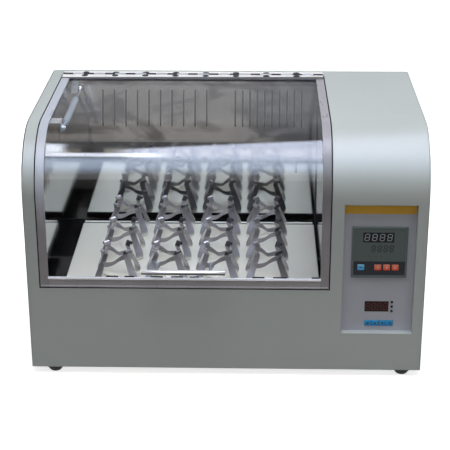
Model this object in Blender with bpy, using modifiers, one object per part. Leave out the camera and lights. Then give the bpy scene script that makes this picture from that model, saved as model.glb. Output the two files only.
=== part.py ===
"""Incubated benchtop shaker, built as separate pieces.

The housing's own frame is used for every size below: X to the right from the middle of the
housing, Y to the back from its front face, Z up from its bottom edge, in metres. One empty
places that frame in the world, so that the feet stand at Z = 0 and the whole object is
centred over the origin.
"""
import math

import bmesh
import bpy
from mathutils import Matrix, Vector

# Housing
CABINET_WIDTH = 0.700
CABINET_DEPTH = 0.425
CABINET_HEIGHT = 0.435
SHOULDER_RADIUS = 0.111
SHEET = 0.0015
SIDE_SETBACK = 0.0008
SEAT_GAP = 0.0003
CUT_OVERRUN = 0.003
WINDOW_CUT_DEPTH = 0.020
MERGE_DISTANCE = 0.00002
ARC_STEPS = 16
QUARTER_TURN = math.pi / 2
FULL_TURN = 2 * math.pi
HALF_WIDTH = CABINET_WIDTH / 2
WRAP_HALF_WIDTH = HALF_WIDTH - SHEET - SEAT_GAP
SHOULDER_Z = CABINET_HEIGHT - SHOULDER_RADIUS

# Piano hinge
HINGE_TO_REAR = 0.033
KNUCKLE_COUNT = 25
KNUCKLE_RADIUS = 0.0026
KNUCKLE_SIDES = 8
HINGE_PIN_RADIUS = 0.0011
LEAF_THICKNESS = 0.0010
HINGE_AXIS_SHARE = 0.8
FRONT_LEAF_REACH = 0.025
REAR_LEAF_REACH = 0.021
HINGE_Y = CABINET_DEPTH - HINGE_TO_REAR
HINGE_Z = CABINET_HEIGHT + SEAT_GAP + LEAF_THICKNESS * HINGE_AXIS_SHARE

# Lid opening in the housing and the lid that closes it
OPENING_LEFT_MARGIN = 0.0215
OPENING_RIGHT_MARGIN = 0.1665
OPENING_BOTTOM = 0.157
OPENING_BACK_STEP = 0.0035
LID_GAP = 0.002
FRAME_SIDE_WIDTH = 0.015
FRAME_BOTTOM_WIDTH = 0.020
FRAME_BACK_WIDTH = 0.018
FRAME_SHEET = 0.002
FRAME_DEPTH = 0.007
WINDOW_THICKNESS = 0.004
OPENING_LEFT = OPENING_LEFT_MARGIN - HALF_WIDTH
OPENING_RIGHT = HALF_WIDTH - OPENING_RIGHT_MARGIN
OPENING_BACK = HINGE_Y + OPENING_BACK_STEP
LID_CENTRE_X = (OPENING_LEFT + OPENING_RIGHT) / 2
LID_BACK = HINGE_Y - KNUCKLE_RADIUS - 2 * SEAT_GAP
HINGE_PITCH = (OPENING_RIGHT - OPENING_LEFT - 2 * LID_GAP) / KNUCKLE_COUNT

# Chamber
CHAMBER_WALL = 0.001
CHAMBER_LEFT_STEP = 0.0130
CHAMBER_RIGHT_STEP = 0.0125
CHAMBER_FRONT = 0.0035
CHAMBER_TO_REAR = 0.073
CHAMBER_FLOOR = 0.105
BACK_WALL_SHARE = 0.62121
LEDGE_DEPTH = 0.010
LEDGE_OVERLAP = 0.001
SEAL_WIDTH = 0.007
SEAL_EDGE_CLEARANCE = 0.0006
CHAMBER_LEFT = OPENING_LEFT + CHAMBER_LEFT_STEP
CHAMBER_RIGHT = OPENING_RIGHT - CHAMBER_RIGHT_STEP
CHAMBER_CENTRE_X = (CHAMBER_LEFT + CHAMBER_RIGHT) / 2
CHAMBER_BACK = CABINET_DEPTH - CHAMBER_TO_REAR
BACK_WALL_TOP = CHAMBER_FLOOR + BACK_WALL_SHARE * (CABINET_HEIGHT - CHAMBER_FLOOR)

# Tray
ORBIT_RADIUS = 0.011
TRAY_CLEARANCE = 0.00325
TRAY_TOP = 0.150
TRAY_FRONT = 0.018
TRAY_BACK_STEP = 0.026
TRAY_SHEET = 0.0015
TRAY_EDGE = 0.012
CARRIER_THICKNESS = 0.003
TRAY_CENTRE_X = CHAMBER_CENTRE_X + ORBIT_RADIUS
TRAY_WIDTH = CHAMBER_RIGHT - CHAMBER_LEFT - 2 * (ORBIT_RADIUS + TRAY_CLEARANCE)
TRAY_BACK = CHAMBER_BACK - TRAY_BACK_STEP

# Drive
CRANK_OFFSET_Y = 0.080
IDLER_TO_TRAY_SIDE = 0.079
DECK_TOP = 0.060
DECK_SHEET = 0.002
SHAFT_RADIUS = 0.006
CRANK_COLLAR_RADIUS = 0.0078
CRANK_HOLE_RADIUS = 0.009
BEARING_RADIUS = 0.018
BEARING_BORE_GAP = 0.0006
CRANK_DISC_RADIUS = 0.024
CRANK_DISC_THICKNESS = 0.006
CRANK_FLOOR_CLEARANCE = 0.0035
CRANK_PIN_RADIUS = 0.005
ROUND_STEPS = 20
SHAFT_STEPS = 12
IDLER_SPREAD = TRAY_WIDTH / 2 - IDLER_TO_TRAY_SIDE
DRIVE_Y = (TRAY_FRONT + TRAY_BACK) / 2
IDLER_Y = DRIVE_Y - CRANK_OFFSET_Y
DRIVE_CRANK_Y = DRIVE_Y + CRANK_OFFSET_Y

# Flask clamps
CLAMP_COLUMNS = 4
CLAMP_ROWS = 3
CLAMP_COLUMN_GAP_SHARE = 0.0782
CLAMP_ROW_GAP_SHARE = 0.4778
CLAMP_HEIGHT = 0.064
CLAMP_ROOT_RADIUS = 0.0470
PRONG_WIDTH = 0.0165
PRONG_THICKNESS = 0.0010
CLAMP_REAR_STEP = 0.002
CLAMP_ACROSS = (2 * CLAMP_ROOT_RADIUS + PRONG_WIDTH + PRONG_THICKNESS) * math.cos(QUARTER_TURN / 2)
CLAMP_FREE_WIDTH = TRAY_WIDTH - CLAMP_COLUMNS * CLAMP_ACROSS
CLAMP_FREE_DEPTH = TRAY_BACK - TRAY_FRONT - CLAMP_ROWS * CLAMP_ACROSS
CLAMP_COLUMN_PITCH = CLAMP_ACROSS + CLAMP_COLUMN_GAP_SHARE * CLAMP_FREE_WIDTH
CLAMP_ROW_PITCH = CLAMP_ACROSS + CLAMP_ROW_GAP_SHARE * CLAMP_FREE_DEPTH
CLAMP_FIRST_ROW_Y = DRIVE_Y - CLAMP_ROW_PITCH + CLAMP_REAR_STEP

# Feet
FOOT_HEIGHT = 0.013
FOOT_TOP_RADIUS = 0.017
FOOT_BOTTOM_RADIUS = 0.010
FOOT_LEFT_INSET = 0.040
FOOT_RIGHT_INSET = 0.032
FOOT_FRONT_Y = 0.018
FOOT_BACK_INSET = 0.045

# Recess of the control panel
RECESS_WIDTH = 0.126
RECESS_RIGHT_MARGIN = 0.019
RECESS_BOTTOM = 0.0735
RECESS_TOP_DROP = 0.006
RECESS_DEPTH = 0.013
FASCIA_THICKNESS = 0.0015
RECESS_RIGHT = HALF_WIDTH - RECESS_RIGHT_MARGIN
RECESS_LEFT = RECESS_RIGHT - RECESS_WIDTH
RECESS_TOP = SHOULDER_Z - RECESS_TOP_DROP
RECESS_CENTRE_X = (RECESS_LEFT + RECESS_RIGHT) / 2

# Lid handle
HANDLE_LENGTH = 0.146
HANDLE_RADIUS = 0.0042
HANDLE_END_CHAMFER = 0.0012
HANDLE_STANDOFF = 0.030
HANDLE_RISE = 0.0455
HANDLE_POST_SPACING = 0.094
HANDLE_POST_RADIUS = 0.0030
HANDLE_Z = OPENING_BOTTOM + HANDLE_RISE
HANDLE_REACH = HANDLE_STANDOFF + HANDLE_RADIUS

# Mains inlet
INLET_FLANGE_THICKNESS = 0.0045
REAR_PROJECTION = SEAT_GAP + INLET_FLANGE_THICKNESS
FRONT_FACE_WORLD_Y = (HANDLE_REACH - CABINET_DEPTH - REAR_PROJECTION) / 2

MATERIALS = {
    "grey_green_paint": ((0.47, 0.52, 0.52), 0.38, 0.0),
    "polished_steel": ((0.62, 0.63, 0.62), 0.12, 1.0),
    "satin_aluminium": ((0.46, 0.45, 0.47), 0.30, 1.0),
    "clear_acrylic": ((0.80, 0.84, 0.86), 0.05, 0.0),
    "chrome": ((0.75, 0.75, 0.76), 0.06, 1.0),
    "spring_steel": ((0.30, 0.29, 0.29), 0.32, 1.0),
    "black_rubber": ((0.02, 0.02, 0.02), 0.70, 0.0),
    "lilac_panel": ((0.33, 0.34, 0.40), 0.50, 0.0),
    "bezel_plastic": ((0.12, 0.15, 0.15), 0.45, 0.0),
    "smoked_window": ((0.10, 0.13, 0.13), 0.10, 0.0),
    "blue_key": ((0.05, 0.25, 0.60), 0.40, 0.0),
    "red_key": ((0.75, 0.10, 0.04), 0.40, 0.0),
    "red_window": ((0.12, 0.02, 0.02), 0.10, 0.0),
    "circuit_board": ((0.03, 0.16, 0.07), 0.55, 0.0),
    "cast_metal": ((0.28, 0.29, 0.30), 0.50, 1.0),
    "black_plastic": ((0.03, 0.03, 0.03), 0.40, 0.0),
    "pale_blue_tube": ((0.38, 0.48, 0.60), 0.25, 1.0),
}


def clear_scene():
    for thing in list(bpy.data.objects):
        bpy.data.objects.remove(thing, do_unlink=True)


def make_collection(name):
    collection = bpy.data.collections.new(name)
    bpy.context.scene.collection.children.link(collection)
    return collection


clear_scene()
PARTS = make_collection("incubated_benchtop_shaker")
CUTTERS = make_collection("cutters_and_joined_shapes")


def make_material(name):
    colour, roughness, metallic = MATERIALS[name]
    material = bpy.data.materials.get(name) or bpy.data.materials.new(name)
    material.use_nodes = True
    shader = material.node_tree.nodes["Principled BSDF"]
    shader.inputs["Base Color"].default_value = (*colour, 1.0)
    shader.inputs["Roughness"].default_value = roughness
    shader.inputs["Metallic"].default_value = metallic
    return material


DATUM = bpy.data.objects.new("housing_datum", None)
DATUM.location = (0, FRONT_FACE_WORLD_Y, FOOT_HEIGHT)
PARTS.objects.link(DATUM)


def make_axis(name, place, carrier=None):
    """An empty on a joint's axis, given in the housing's frame, hung on the body that carries it."""
    empty = bpy.data.objects.new(name, None)
    carrier = carrier or DATUM
    empty.parent = carrier
    empty.location = Vector(place) - place_of(carrier)
    empty["housing_place"] = list(place)
    PARTS.objects.link(empty)
    return empty


def place_of(empty):
    return Vector(empty.get("housing_place", (0, 0, 0)))


def finish_piece(piece, name, material, axis=None, smooth_angle=35):
    """Name a piece, give it its material and hang it on its joint's axis or on the housing."""
    piece.name = name
    piece.data.name = name
    piece.data.materials.clear()
    piece.data.materials.append(make_material(material))
    carrier = axis or DATUM
    piece.parent = carrier
    piece.location = Vector(piece.location) - place_of(carrier)
    for collection in list(piece.users_collection):
        collection.objects.unlink(piece)
    PARTS.objects.link(piece)
    piece.data.shade_smooth()
    piece.data.set_sharp_from_angle(angle=math.radians(smooth_angle))
    return piece


def object_from_bmesh(shape, name="shape"):
    bmesh.ops.recalc_face_normals(shape, faces=shape.faces)
    mesh = bpy.data.meshes.new(name)
    shape.to_mesh(mesh)
    shape.free()
    piece = bpy.data.objects.new(name, mesh)
    CUTTERS.objects.link(piece)
    return piece


def boxes(spans):
    """One mesh of boxes, each given as (x0, x1, y0, y1, z0, z1)."""
    shape = bmesh.new()
    for x0, x1, y0, y1, z0, z1 in spans:
        middle = Vector(((x0 + x1) / 2, (y0 + y1) / 2, (z0 + z1) / 2))
        size = Matrix.Diagonal((x1 - x0, y1 - y0, z1 - z0, 1))
        bmesh.ops.create_cube(shape, size=1, matrix=Matrix.Translation(middle) @ size)
    return object_from_bmesh(shape)


def box(x0, x1, y0, y1, z0, z1):
    return boxes([(x0, x1, y0, y1, z0, z1)])


AXIS_TURN = {
    "X": Matrix.Rotation(QUARTER_TURN, 4, "Y"),
    "Y": Matrix.Rotation(-QUARTER_TURN, 4, "X"),
    "Z": Matrix.Identity(4),
}


def rods(places, axis, radius, length, steps=ROUND_STEPS, end_radius=None):
    """Cylinders, each starting at a place and running along the positive axis."""
    shape = bmesh.new()
    for place in places:
        turn = Matrix.Translation(place) @ AXIS_TURN[axis] @ Matrix.Translation((0, 0, length / 2))
        bmesh.ops.create_cone(shape, cap_ends=True, segments=steps, radius1=radius,
                              radius2=radius if end_radius is None else end_radius,
                              depth=length, matrix=turn)
    return object_from_bmesh(shape)


def rod(place, axis, radius, length, steps=ROUND_STEPS, end_radius=None):
    return rods([place], axis, radius, length, steps, end_radius)


def turned(profile, place, axis="Z", steps=ROUND_STEPS):
    """A Screw round the axis; the profile is (radius, height) from top to bottom."""
    mesh = bpy.data.meshes.new("turned")
    points = [(radius, 0, height) for radius, height in profile]
    mesh.from_pydata(points, [(i, i + 1) for i in range(len(points) - 1)], [])
    piece = bpy.data.objects.new("turned", mesh)
    CUTTERS.objects.link(piece)
    screw = piece.modifiers.new("turn", "SCREW")
    screw.steps = steps
    screw.render_steps = steps
    screw.use_merge_vertices = True
    screw.merge_threshold = MERGE_DISTANCE
    screw.use_normal_calculate = True
    settle(piece)
    piece.data.transform(Matrix.Translation(place) @ AXIS_TURN[axis])
    return piece


def settle(piece):
    """Replace the mesh by what its modifiers make of it."""
    bpy.context.view_layer.update()
    source = piece.evaluated_get(bpy.context.evaluated_depsgraph_get())
    mesh = bpy.data.meshes.new_from_object(source)
    piece.modifiers.clear()
    piece.data = mesh
    shape = bmesh.new()
    shape.from_mesh(mesh)
    bmesh.ops.recalc_face_normals(shape, faces=shape.faces)
    shape.to_mesh(mesh)
    shape.free()
    return piece


OUTLINE_TURN = {
    "X": Matrix(((0, 0, 1, 0), (1, 0, 0, 0), (0, 1, 0, 0), (0, 0, 0, 1))),
    "Y": Matrix(((1, 0, 0, 0), (0, 0, -1, 0), (0, 1, 0, 0), (0, 0, 0, 1))),
    "Z": Matrix.Identity(4),
}


def outline_slab(points, axis, low, high):
    """A flat outline extruded along the axis, its two ends one face each."""
    shape = bmesh.new()
    end = shape.faces.new([shape.verts.new((across, up, low)) for across, up in points])
    grown = bmesh.ops.extrude_face_region(shape, geom=[end], use_keep_orig=True)
    moved = [item for item in grown["geom"] if isinstance(item, bmesh.types.BMVert)]
    bmesh.ops.translate(shape, verts=moved, vec=(0, 0, high - low))
    shape.transform(OUTLINE_TURN[axis])
    return object_from_bmesh(shape)


def outline_ring(outlines, low, high):
    """A flat outline with the others as its holes, extruded upwards."""
    curve = bpy.data.curves.new("outline", "CURVE")
    curve.dimensions = "2D"
    curve.fill_mode = "BOTH"
    curve.extrude = (high - low) / 2
    for points in outlines:
        spline = curve.splines.new("POLY")
        spline.points.add(len(points) - 1)
        for point, (across, up) in zip(spline.points, points):
            point.co = (across, up, 0, 1)
        spline.use_cyclic_u = True
    guide = bpy.data.objects.new("outline", curve)
    CUTTERS.objects.link(guide)
    bpy.context.view_layer.update()
    depsgraph = bpy.context.evaluated_depsgraph_get()
    mesh = bpy.data.meshes.new_from_object(guide.evaluated_get(depsgraph))
    bpy.data.objects.remove(guide, do_unlink=True)
    shape = bmesh.new()
    shape.from_mesh(mesh)
    bmesh.ops.remove_doubles(shape, verts=shape.verts, dist=MERGE_DISTANCE)
    shape.transform(Matrix.Translation((0, 0, (low + high) / 2)))
    return object_from_bmesh(shape)


def combine(piece, tool, operation):
    """A Boolean with an EXACT solver; the tool is kept, hidden, in the cutters' collection."""
    tool.display_type = "WIRE"
    tool.hide_render = True
    step = piece.modifiers.new(operation.lower(), "BOOLEAN")
    step.operation = operation
    step.solver = "EXACT"
    step.object = tool
    return piece


def weld(piece, *tools):
    for tool in tools:
        combine(piece, tool, "UNION")
    return settle(piece)


def cut(piece, *tools):
    for tool in tools:
        combine(piece, tool, "DIFFERENCE")
    return settle(piece)


def skin_line(inset, z_low, y_back):
    """Points (y, z) up the front, round the shoulder and back over the top, inset from the skin."""
    centre_z = CABINET_HEIGHT - SHOULDER_RADIUS
    radius = SHOULDER_RADIUS - inset
    points = [(inset, z_low)]
    for step in range(ARC_STEPS + 1):
        angle = QUARTER_TURN * step / ARC_STEPS
        points.append((SHOULDER_RADIUS - radius * math.cos(angle),
                       centre_z + radius * math.sin(angle)))
    points.append((y_back, CABINET_HEIGHT - inset))
    return points


def skin_window(left, right, z_low, y_back):
    """A block that crosses the skin, with its front, shoulder and top, between four edges."""
    out = -CUT_OVERRUN
    top = CABINET_HEIGHT + CUT_OVERRUN
    deep = CABINET_HEIGHT - WINDOW_CUT_DEPTH
    points = [(out, z_low), (out, top), (y_back, top), (y_back, deep), (SHOULDER_RADIUS, deep),
              (WINDOW_CUT_DEPTH, CABINET_HEIGHT - SHOULDER_RADIUS), (WINDOW_CUT_DEPTH, z_low)]
    return outline_slab(points, "X", left, right)


def skin_slab(left, right, outer, inner, z_low, y_back):
    """A bent strip that follows the skin, between two insets from it."""
    outline = skin_line(outer, z_low, y_back) + skin_line(inner, z_low, y_back)[::-1]
    return outline_slab(outline, "X", left, right)


def ribbon(points, width, thickness, matrix=None):
    """A strip of sheet along points (across, up), as wide as given, with even thickness."""
    shape = bmesh.new()
    row = [shape.verts.new((across, -width / 2, up)) for across, up in points]
    edges = [shape.edges.new(pair) for pair in zip(row, row[1:])]
    grown = bmesh.ops.extrude_edge_only(shape, edges=edges)
    moved = [item for item in grown["geom"] if isinstance(item, bmesh.types.BMVert)]
    bmesh.ops.translate(shape, verts=moved, vec=(0, width, 0))
    if matrix:
        shape.transform(matrix)
    piece = object_from_bmesh(shape)
    sheet = piece.modifiers.new("sheet", "SOLIDIFY")
    sheet.thickness = thickness
    sheet.offset = 0
    sheet.use_even_offset = True
    return settle(piece)


def open_box(x0, x1, y0, y1, z0, z1, thickness):
    """A tray of folded sheet, open at the top; the sheet lies inside the given sizes."""
    piece = box(x0, x1, y0, y1, z0, z1)
    shape = bmesh.new()
    shape.from_mesh(piece.data)
    top = max(shape.faces, key=lambda face: face.calc_center_median().z)
    bmesh.ops.delete(shape, geom=[top], context="FACES_ONLY")
    shape.to_mesh(piece.data)
    shape.free()
    sheet = piece.modifiers.new("sheet", "SOLIDIFY")
    sheet.thickness = thickness
    sheet.offset = -1
    sheet.use_even_offset = True
    return settle(piece)


# Housing

def make_cabinet_wrap():
    back = CABINET_DEPTH - SHEET - SEAT_GAP
    wrap = skin_slab(-WRAP_HALF_WIDTH, WRAP_HALF_WIDTH, 0, SHEET, 0, back)
    opening = skin_window(OPENING_LEFT, OPENING_RIGHT, OPENING_BOTTOM, OPENING_BACK)
    sleeve_back = RECESS_DEPTH + FASCIA_THICKNESS + SEAT_GAP
    sleeve = box(RECESS_LEFT - SHEET, RECESS_RIGHT + SHEET, SHEET / 2, sleeve_back,
                 RECESS_BOTTOM - SHEET, RECESS_TOP + SHEET)
    hole = box(RECESS_LEFT, RECESS_RIGHT, -CUT_OVERRUN, sleeve_back + CUT_OVERRUN,
               RECESS_BOTTOM, RECESS_TOP)
    weld(wrap, sleeve)
    cut(wrap, opening, hole)
    finish_piece(wrap, "cabinet_wrap", "grey_green_paint", smooth_angle=20)


def make_side_panel(name, left):
    outline = skin_line(SIDE_SETBACK, 0, CABINET_DEPTH) + [(CABINET_DEPTH, 0)]
    panel = outline_slab(outline, "X", left, left + SHEET)
    finish_piece(panel, name, "grey_green_paint", smooth_angle=20)


VENT_ROWS = 4
VENT_COLUMNS = 9
VENT_PITCH_X = 0.025
VENT_PITCH_Z = 0.016
VENT_WIDTH = 0.018
VENT_HEIGHT = 0.006
VENT_TO_SIDE = 0.260
VENT_BOTTOM = 0.220
VENT_LEFT = HALF_WIDTH - VENT_TO_SIDE

INLET_TO_SIDE = 0.080
INLET_X = HALF_WIDTH - INLET_TO_SIDE
INLET_Z = 0.070
INLET_WIDTH = 0.050
INLET_HEIGHT = 0.064
INLET_BODY_WIDTH = 0.036
INLET_BODY_HEIGHT = 0.056
INLET_BODY_DEPTH = 0.034


def make_rear_panel():
    inner_y = CABINET_DEPTH - SHEET
    panel = box(-WRAP_HALF_WIDTH, WRAP_HALF_WIDTH, inner_y, CABINET_DEPTH, 0, CABINET_HEIGHT)
    slots = []
    for row in range(VENT_ROWS):
        for column in range(VENT_COLUMNS):
            x = VENT_LEFT + column * VENT_PITCH_X
            z = VENT_BOTTOM + row * VENT_PITCH_Z
            slots.append((x, x + VENT_WIDTH, inner_y - CUT_OVERRUN, CABINET_DEPTH + CUT_OVERRUN,
                          z, z + VENT_HEIGHT))
    clear = SEAT_GAP
    slots.append((INLET_X - INLET_BODY_WIDTH / 2 - clear, INLET_X + INLET_BODY_WIDTH / 2 + clear,
                  inner_y - CUT_OVERRUN, CABINET_DEPTH + CUT_OVERRUN,
                  INLET_Z - INLET_BODY_HEIGHT / 2 - clear, INLET_Z + INLET_BODY_HEIGHT / 2 + clear))
    cut(panel, boxes(slots))
    finish_piece(panel, "rear_panel", "grey_green_paint")


PAN_WALL_HEIGHT = 0.016


def make_base_pan():
    reach = WRAP_HALF_WIDTH - SEAT_GAP
    pan = open_box(-reach, reach, SHEET + SEAT_GAP, CABINET_DEPTH - SHEET - SEAT_GAP,
                   0, PAN_WALL_HEIGHT, SHEET)
    finish_piece(pan, "base_pan", "grey_green_paint")


FOOT_WAIST_SHARE = 0.35
FOOT_RIM_SHARE = 0.94


def make_foot(name, x, y):
    height = FOOT_HEIGHT - SEAT_GAP
    waist = -FOOT_WAIST_SHARE * height
    profile = [(0, 0), (FOOT_TOP_RADIUS * FOOT_RIM_SHARE, 0), (FOOT_TOP_RADIUS, waist / 2),
               (FOOT_TOP_RADIUS * FOOT_RIM_SHARE, waist),
               (FOOT_BOTTOM_RADIUS / FOOT_RIM_SHARE, -height * FOOT_RIM_SHARE),
               (FOOT_BOTTOM_RADIUS, -height), (0, -height)]
    foot = turned(profile, (x, y, -SEAT_GAP))
    finish_piece(foot, name, "black_rubber", smooth_angle=25)


# Chamber

CHAMBER_SLOT_COUNT = 10
CHAMBER_SLOT_WIDTH = 0.003
CHAMBER_SLOT_DROP = 0.095
CHAMBER_SLOT_HEIGHT = 0.068
WIDE_BANK_START_SHARE = 0.1346
WIDE_BANK_PITCH_SHARE = 0.04645
NARROW_BANK_START_SHARE = 0.6676
NARROW_BANK_PITCH_SHARE = 0.0296
CHAMBER_WIDTH = CHAMBER_RIGHT - CHAMBER_LEFT
CHAMBER_SLOT_LOW = CABINET_HEIGHT - CHAMBER_SLOT_DROP
CHAMBER_SLOT_HIGH = CHAMBER_SLOT_LOW + CHAMBER_SLOT_HEIGHT
WIDE_BANK_LEFT = CHAMBER_LEFT + WIDE_BANK_START_SHARE * CHAMBER_WIDTH
WIDE_BANK_PITCH = WIDE_BANK_PITCH_SHARE * CHAMBER_WIDTH
NARROW_BANK_LEFT = CHAMBER_LEFT + NARROW_BANK_START_SHARE * CHAMBER_WIDTH
NARROW_BANK_PITCH = NARROW_BANK_PITCH_SHARE * CHAMBER_WIDTH

PROBE_TO_WALL = 0.041
PROBE_DROP = 0.173
PROBE_X = CHAMBER_RIGHT - PROBE_TO_WALL
PROBE_Z = CABINET_HEIGHT - PROBE_DROP
PROBE_RADIUS = 0.0025
PROBE_GLAND_RADIUS = 0.007
PROBE_REACH = 0.034
PROBE_LENGTH = 0.048


def ledge_outline():
    """The chamber's side walls end on a ledge that runs round the lid opening."""
    back = OPENING_BACK + SEAL_EDGE_CLEARANCE + LEDGE_DEPTH / 4
    inner_back = OPENING_BACK - LEDGE_DEPTH
    line = skin_line(LEDGE_DEPTH, OPENING_BOTTOM - SEAT_GAP, inner_back)
    lip = skin_line(SHEET + SEAT_GAP, OPENING_BOTTOM - SEAT_GAP, inner_back)
    line.append((back, line[-1][1]))
    lip.append((back, lip[-1][1]))
    return line, lip


def make_chamber_surface():
    """Floor, walls, ledge and upturned lip as one open surface, faces towards the inside."""
    shape = bmesh.new()
    line, lip = ledge_outline()
    sides = {}
    for x_wall, x_lip in ((CHAMBER_LEFT, OPENING_LEFT - LEDGE_OVERLAP),
                          (CHAMBER_RIGHT, OPENING_RIGHT + LEDGE_OVERLAP)):
        wall = [shape.verts.new((x_wall, y, z)) for y, z in line]
        ledge = [shape.verts.new((x_lip, y, z)) for y, z in line]
        edge = [shape.verts.new((x_lip, y, z)) for y, z in lip]
        corners = [shape.verts.new((x_wall, y, z)) for y, z in (
            (CHAMBER_FRONT, line[0][1]), (CHAMBER_FRONT, CHAMBER_FLOOR),
            (CHAMBER_BACK, CHAMBER_FLOOR), (CHAMBER_BACK, BACK_WALL_TOP))]
        sides[x_wall] = (wall, ledge, edge, corners)
        shape.faces.new(corners + wall[-2::-1])
        for i in range(len(line) - 1):
            shape.faces.new((wall[i], wall[i + 1], ledge[i + 1], ledge[i]))
            shape.faces.new((ledge[i], ledge[i + 1], edge[i + 1], edge[i]))
    (wall, ledge, edge, corners), (wall2, ledge2, edge2, corners2) = sides.values()
    for a, b in zip(range(3), range(1, 4)):
        shape.faces.new((corners[a], corners[b], corners2[b], corners2[a]))
    shape.faces.new((corners[3], wall[-2], wall2[-2], corners2[3]))
    shape.faces.new((wall[-2], wall[-1], wall2[-1], wall2[-2]))
    back_edge = [shape.verts.new((v.co.x, v.co.y, edge[-1].co.z)) for v in (wall[-1], wall2[-1])]
    shape.faces.new((ledge[-1], wall[-1], back_edge[0], edge[-1]))
    shape.faces.new((wall[-1], wall2[-1], back_edge[1], back_edge[0]))
    shape.faces.new((wall2[-1], ledge2[-1], edge2[-1], back_edge[1]))
    bmesh.ops.recalc_face_normals(shape, faces=shape.faces)
    floor = min(shape.faces, key=lambda face: face.calc_center_median().z)
    if floor.normal.z < 0:
        bmesh.ops.reverse_faces(shape, faces=shape.faces)
    return shape


def make_chamber_liner():
    shape = make_chamber_surface()
    mesh = bpy.data.meshes.new("chamber")
    shape.to_mesh(mesh)
    shape.free()
    liner = bpy.data.objects.new("chamber", mesh)
    CUTTERS.objects.link(liner)
    sheet = liner.modifiers.new("sheet", "SOLIDIFY")
    sheet.thickness = CHAMBER_WALL
    sheet.offset = -1
    sheet.use_even_offset = True
    settle(liner)
    shafts = rods([(x, y, CHAMBER_FLOOR - CHAMBER_WALL - CUT_OVERRUN) for x, y in crank_places()],
                  "Z", CRANK_HOLE_RADIUS, CHAMBER_WALL + CUT_OVERRUN * 2, SHAFT_STEPS)
    slots = []
    for start, pitch in ((WIDE_BANK_LEFT, WIDE_BANK_PITCH), (NARROW_BANK_LEFT, NARROW_BANK_PITCH)):
        for i in range(CHAMBER_SLOT_COUNT):
            x = start + i * pitch
            slots.append((x, x + CHAMBER_SLOT_WIDTH, CHAMBER_BACK - CUT_OVERRUN,
                          OPENING_BACK, CHAMBER_SLOT_LOW, CHAMBER_SLOT_HIGH))
    probe = rod((PROBE_X, CHAMBER_BACK - CUT_OVERRUN, PROBE_Z), "Y",
                PROBE_RADIUS + SEAT_GAP * 2, CHAMBER_WALL + CUT_OVERRUN * 2, SHAFT_STEPS)
    cut(liner, shafts, boxes(slots), probe)
    finish_piece(liner, "chamber_liner", "polished_steel", smooth_angle=20)


def make_lid_seal():
    """A rubber strip on the ledge at both sides, and on the front wall's edge below the lid."""
    outer = FRAME_DEPTH + SEAT_GAP
    inner = LEDGE_DEPTH - SEAT_GAP
    back = OPENING_BACK - LEDGE_DEPTH
    left = OPENING_LEFT + SEAL_EDGE_CLEARANCE
    right = OPENING_RIGHT - SEAL_EDGE_CLEARANCE
    low = OPENING_BOTTOM
    high = OPENING_BOTTOM + LID_GAP - SEAT_GAP
    step = SEAT_GAP / 2
    seal = skin_slab(left, left + SEAL_WIDTH, outer, inner, low + step, back)
    other = skin_slab(right - SEAL_WIDTH, right, outer, inner, low + step, back)
    front = SHEET + 2 * SEAT_GAP
    sill = box(left + step, right - step, front, FRAME_DEPTH, low, high)
    corners = boxes([(left + step, left + SEAL_WIDTH - step, front + step, inner - step, low, high),
                     (right - SEAL_WIDTH + step, right - step, front + step, inner - step,
                      low, high)])
    weld(seal, other, sill, corners)
    finish_piece(seal, "lid_seal", "black_rubber", smooth_angle=20)


def make_temperature_probe():
    stem = rod((PROBE_X, CHAMBER_BACK - PROBE_REACH, PROBE_Z), "Y", PROBE_RADIUS, PROBE_LENGTH,
               SHAFT_STEPS)
    gland = rod((PROBE_X, CHAMBER_BACK + CHAMBER_WALL + SEAT_GAP, PROBE_Z), "Y",
                PROBE_GLAND_RADIUS, PROBE_GLAND_RADIUS, 6)
    weld(stem, gland)
    finish_piece(stem, "temperature_probe", "chrome")


HEATER_RISE_FROM_FLOOR = 0.030
HEATER_RISE = 0.022
HEATER_LOW = CHAMBER_FLOOR + HEATER_RISE_FROM_FLOOR
FAN_STEP = 0.00775
FAN_LEAST_RADIUS = 0.0344
FAN_GROWTH_SHARE = 0.115
FAN_LIFT_SHARE = 0.837
FAN_ROOM = BACK_WALL_TOP - HEATER_LOW - HEATER_RISE
FAN_X = CHAMBER_CENTRE_X - FAN_STEP
FAN_RADIUS = FAN_LEAST_RADIUS + FAN_GROWTH_SHARE * FAN_ROOM
FAN_Z = (HEATER_LOW + HEATER_RISE + FAN_RADIUS
         + FAN_LIFT_SHARE * (FAN_ROOM - 2 * FAN_RADIUS))
FAN_BLADES = 8
FAN_DEPTH = 0.016
FAN_HUB_RADIUS = 0.012
FAN_MOTOR_RADIUS = 0.030
FAN_SHAFT_RADIUS = 0.003
FAN_WALL_CLEARANCE = 0.004
FAN_BLADE_THICKNESS = 0.0012
FAN_MOTOR_GAP = 0.004


def fan_places():
    wheel_front = CHAMBER_BACK + CHAMBER_WALL + FAN_WALL_CLEARANCE
    motor_front = wheel_front + FAN_DEPTH + FAN_MOTOR_GAP
    return wheel_front, motor_front


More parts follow.
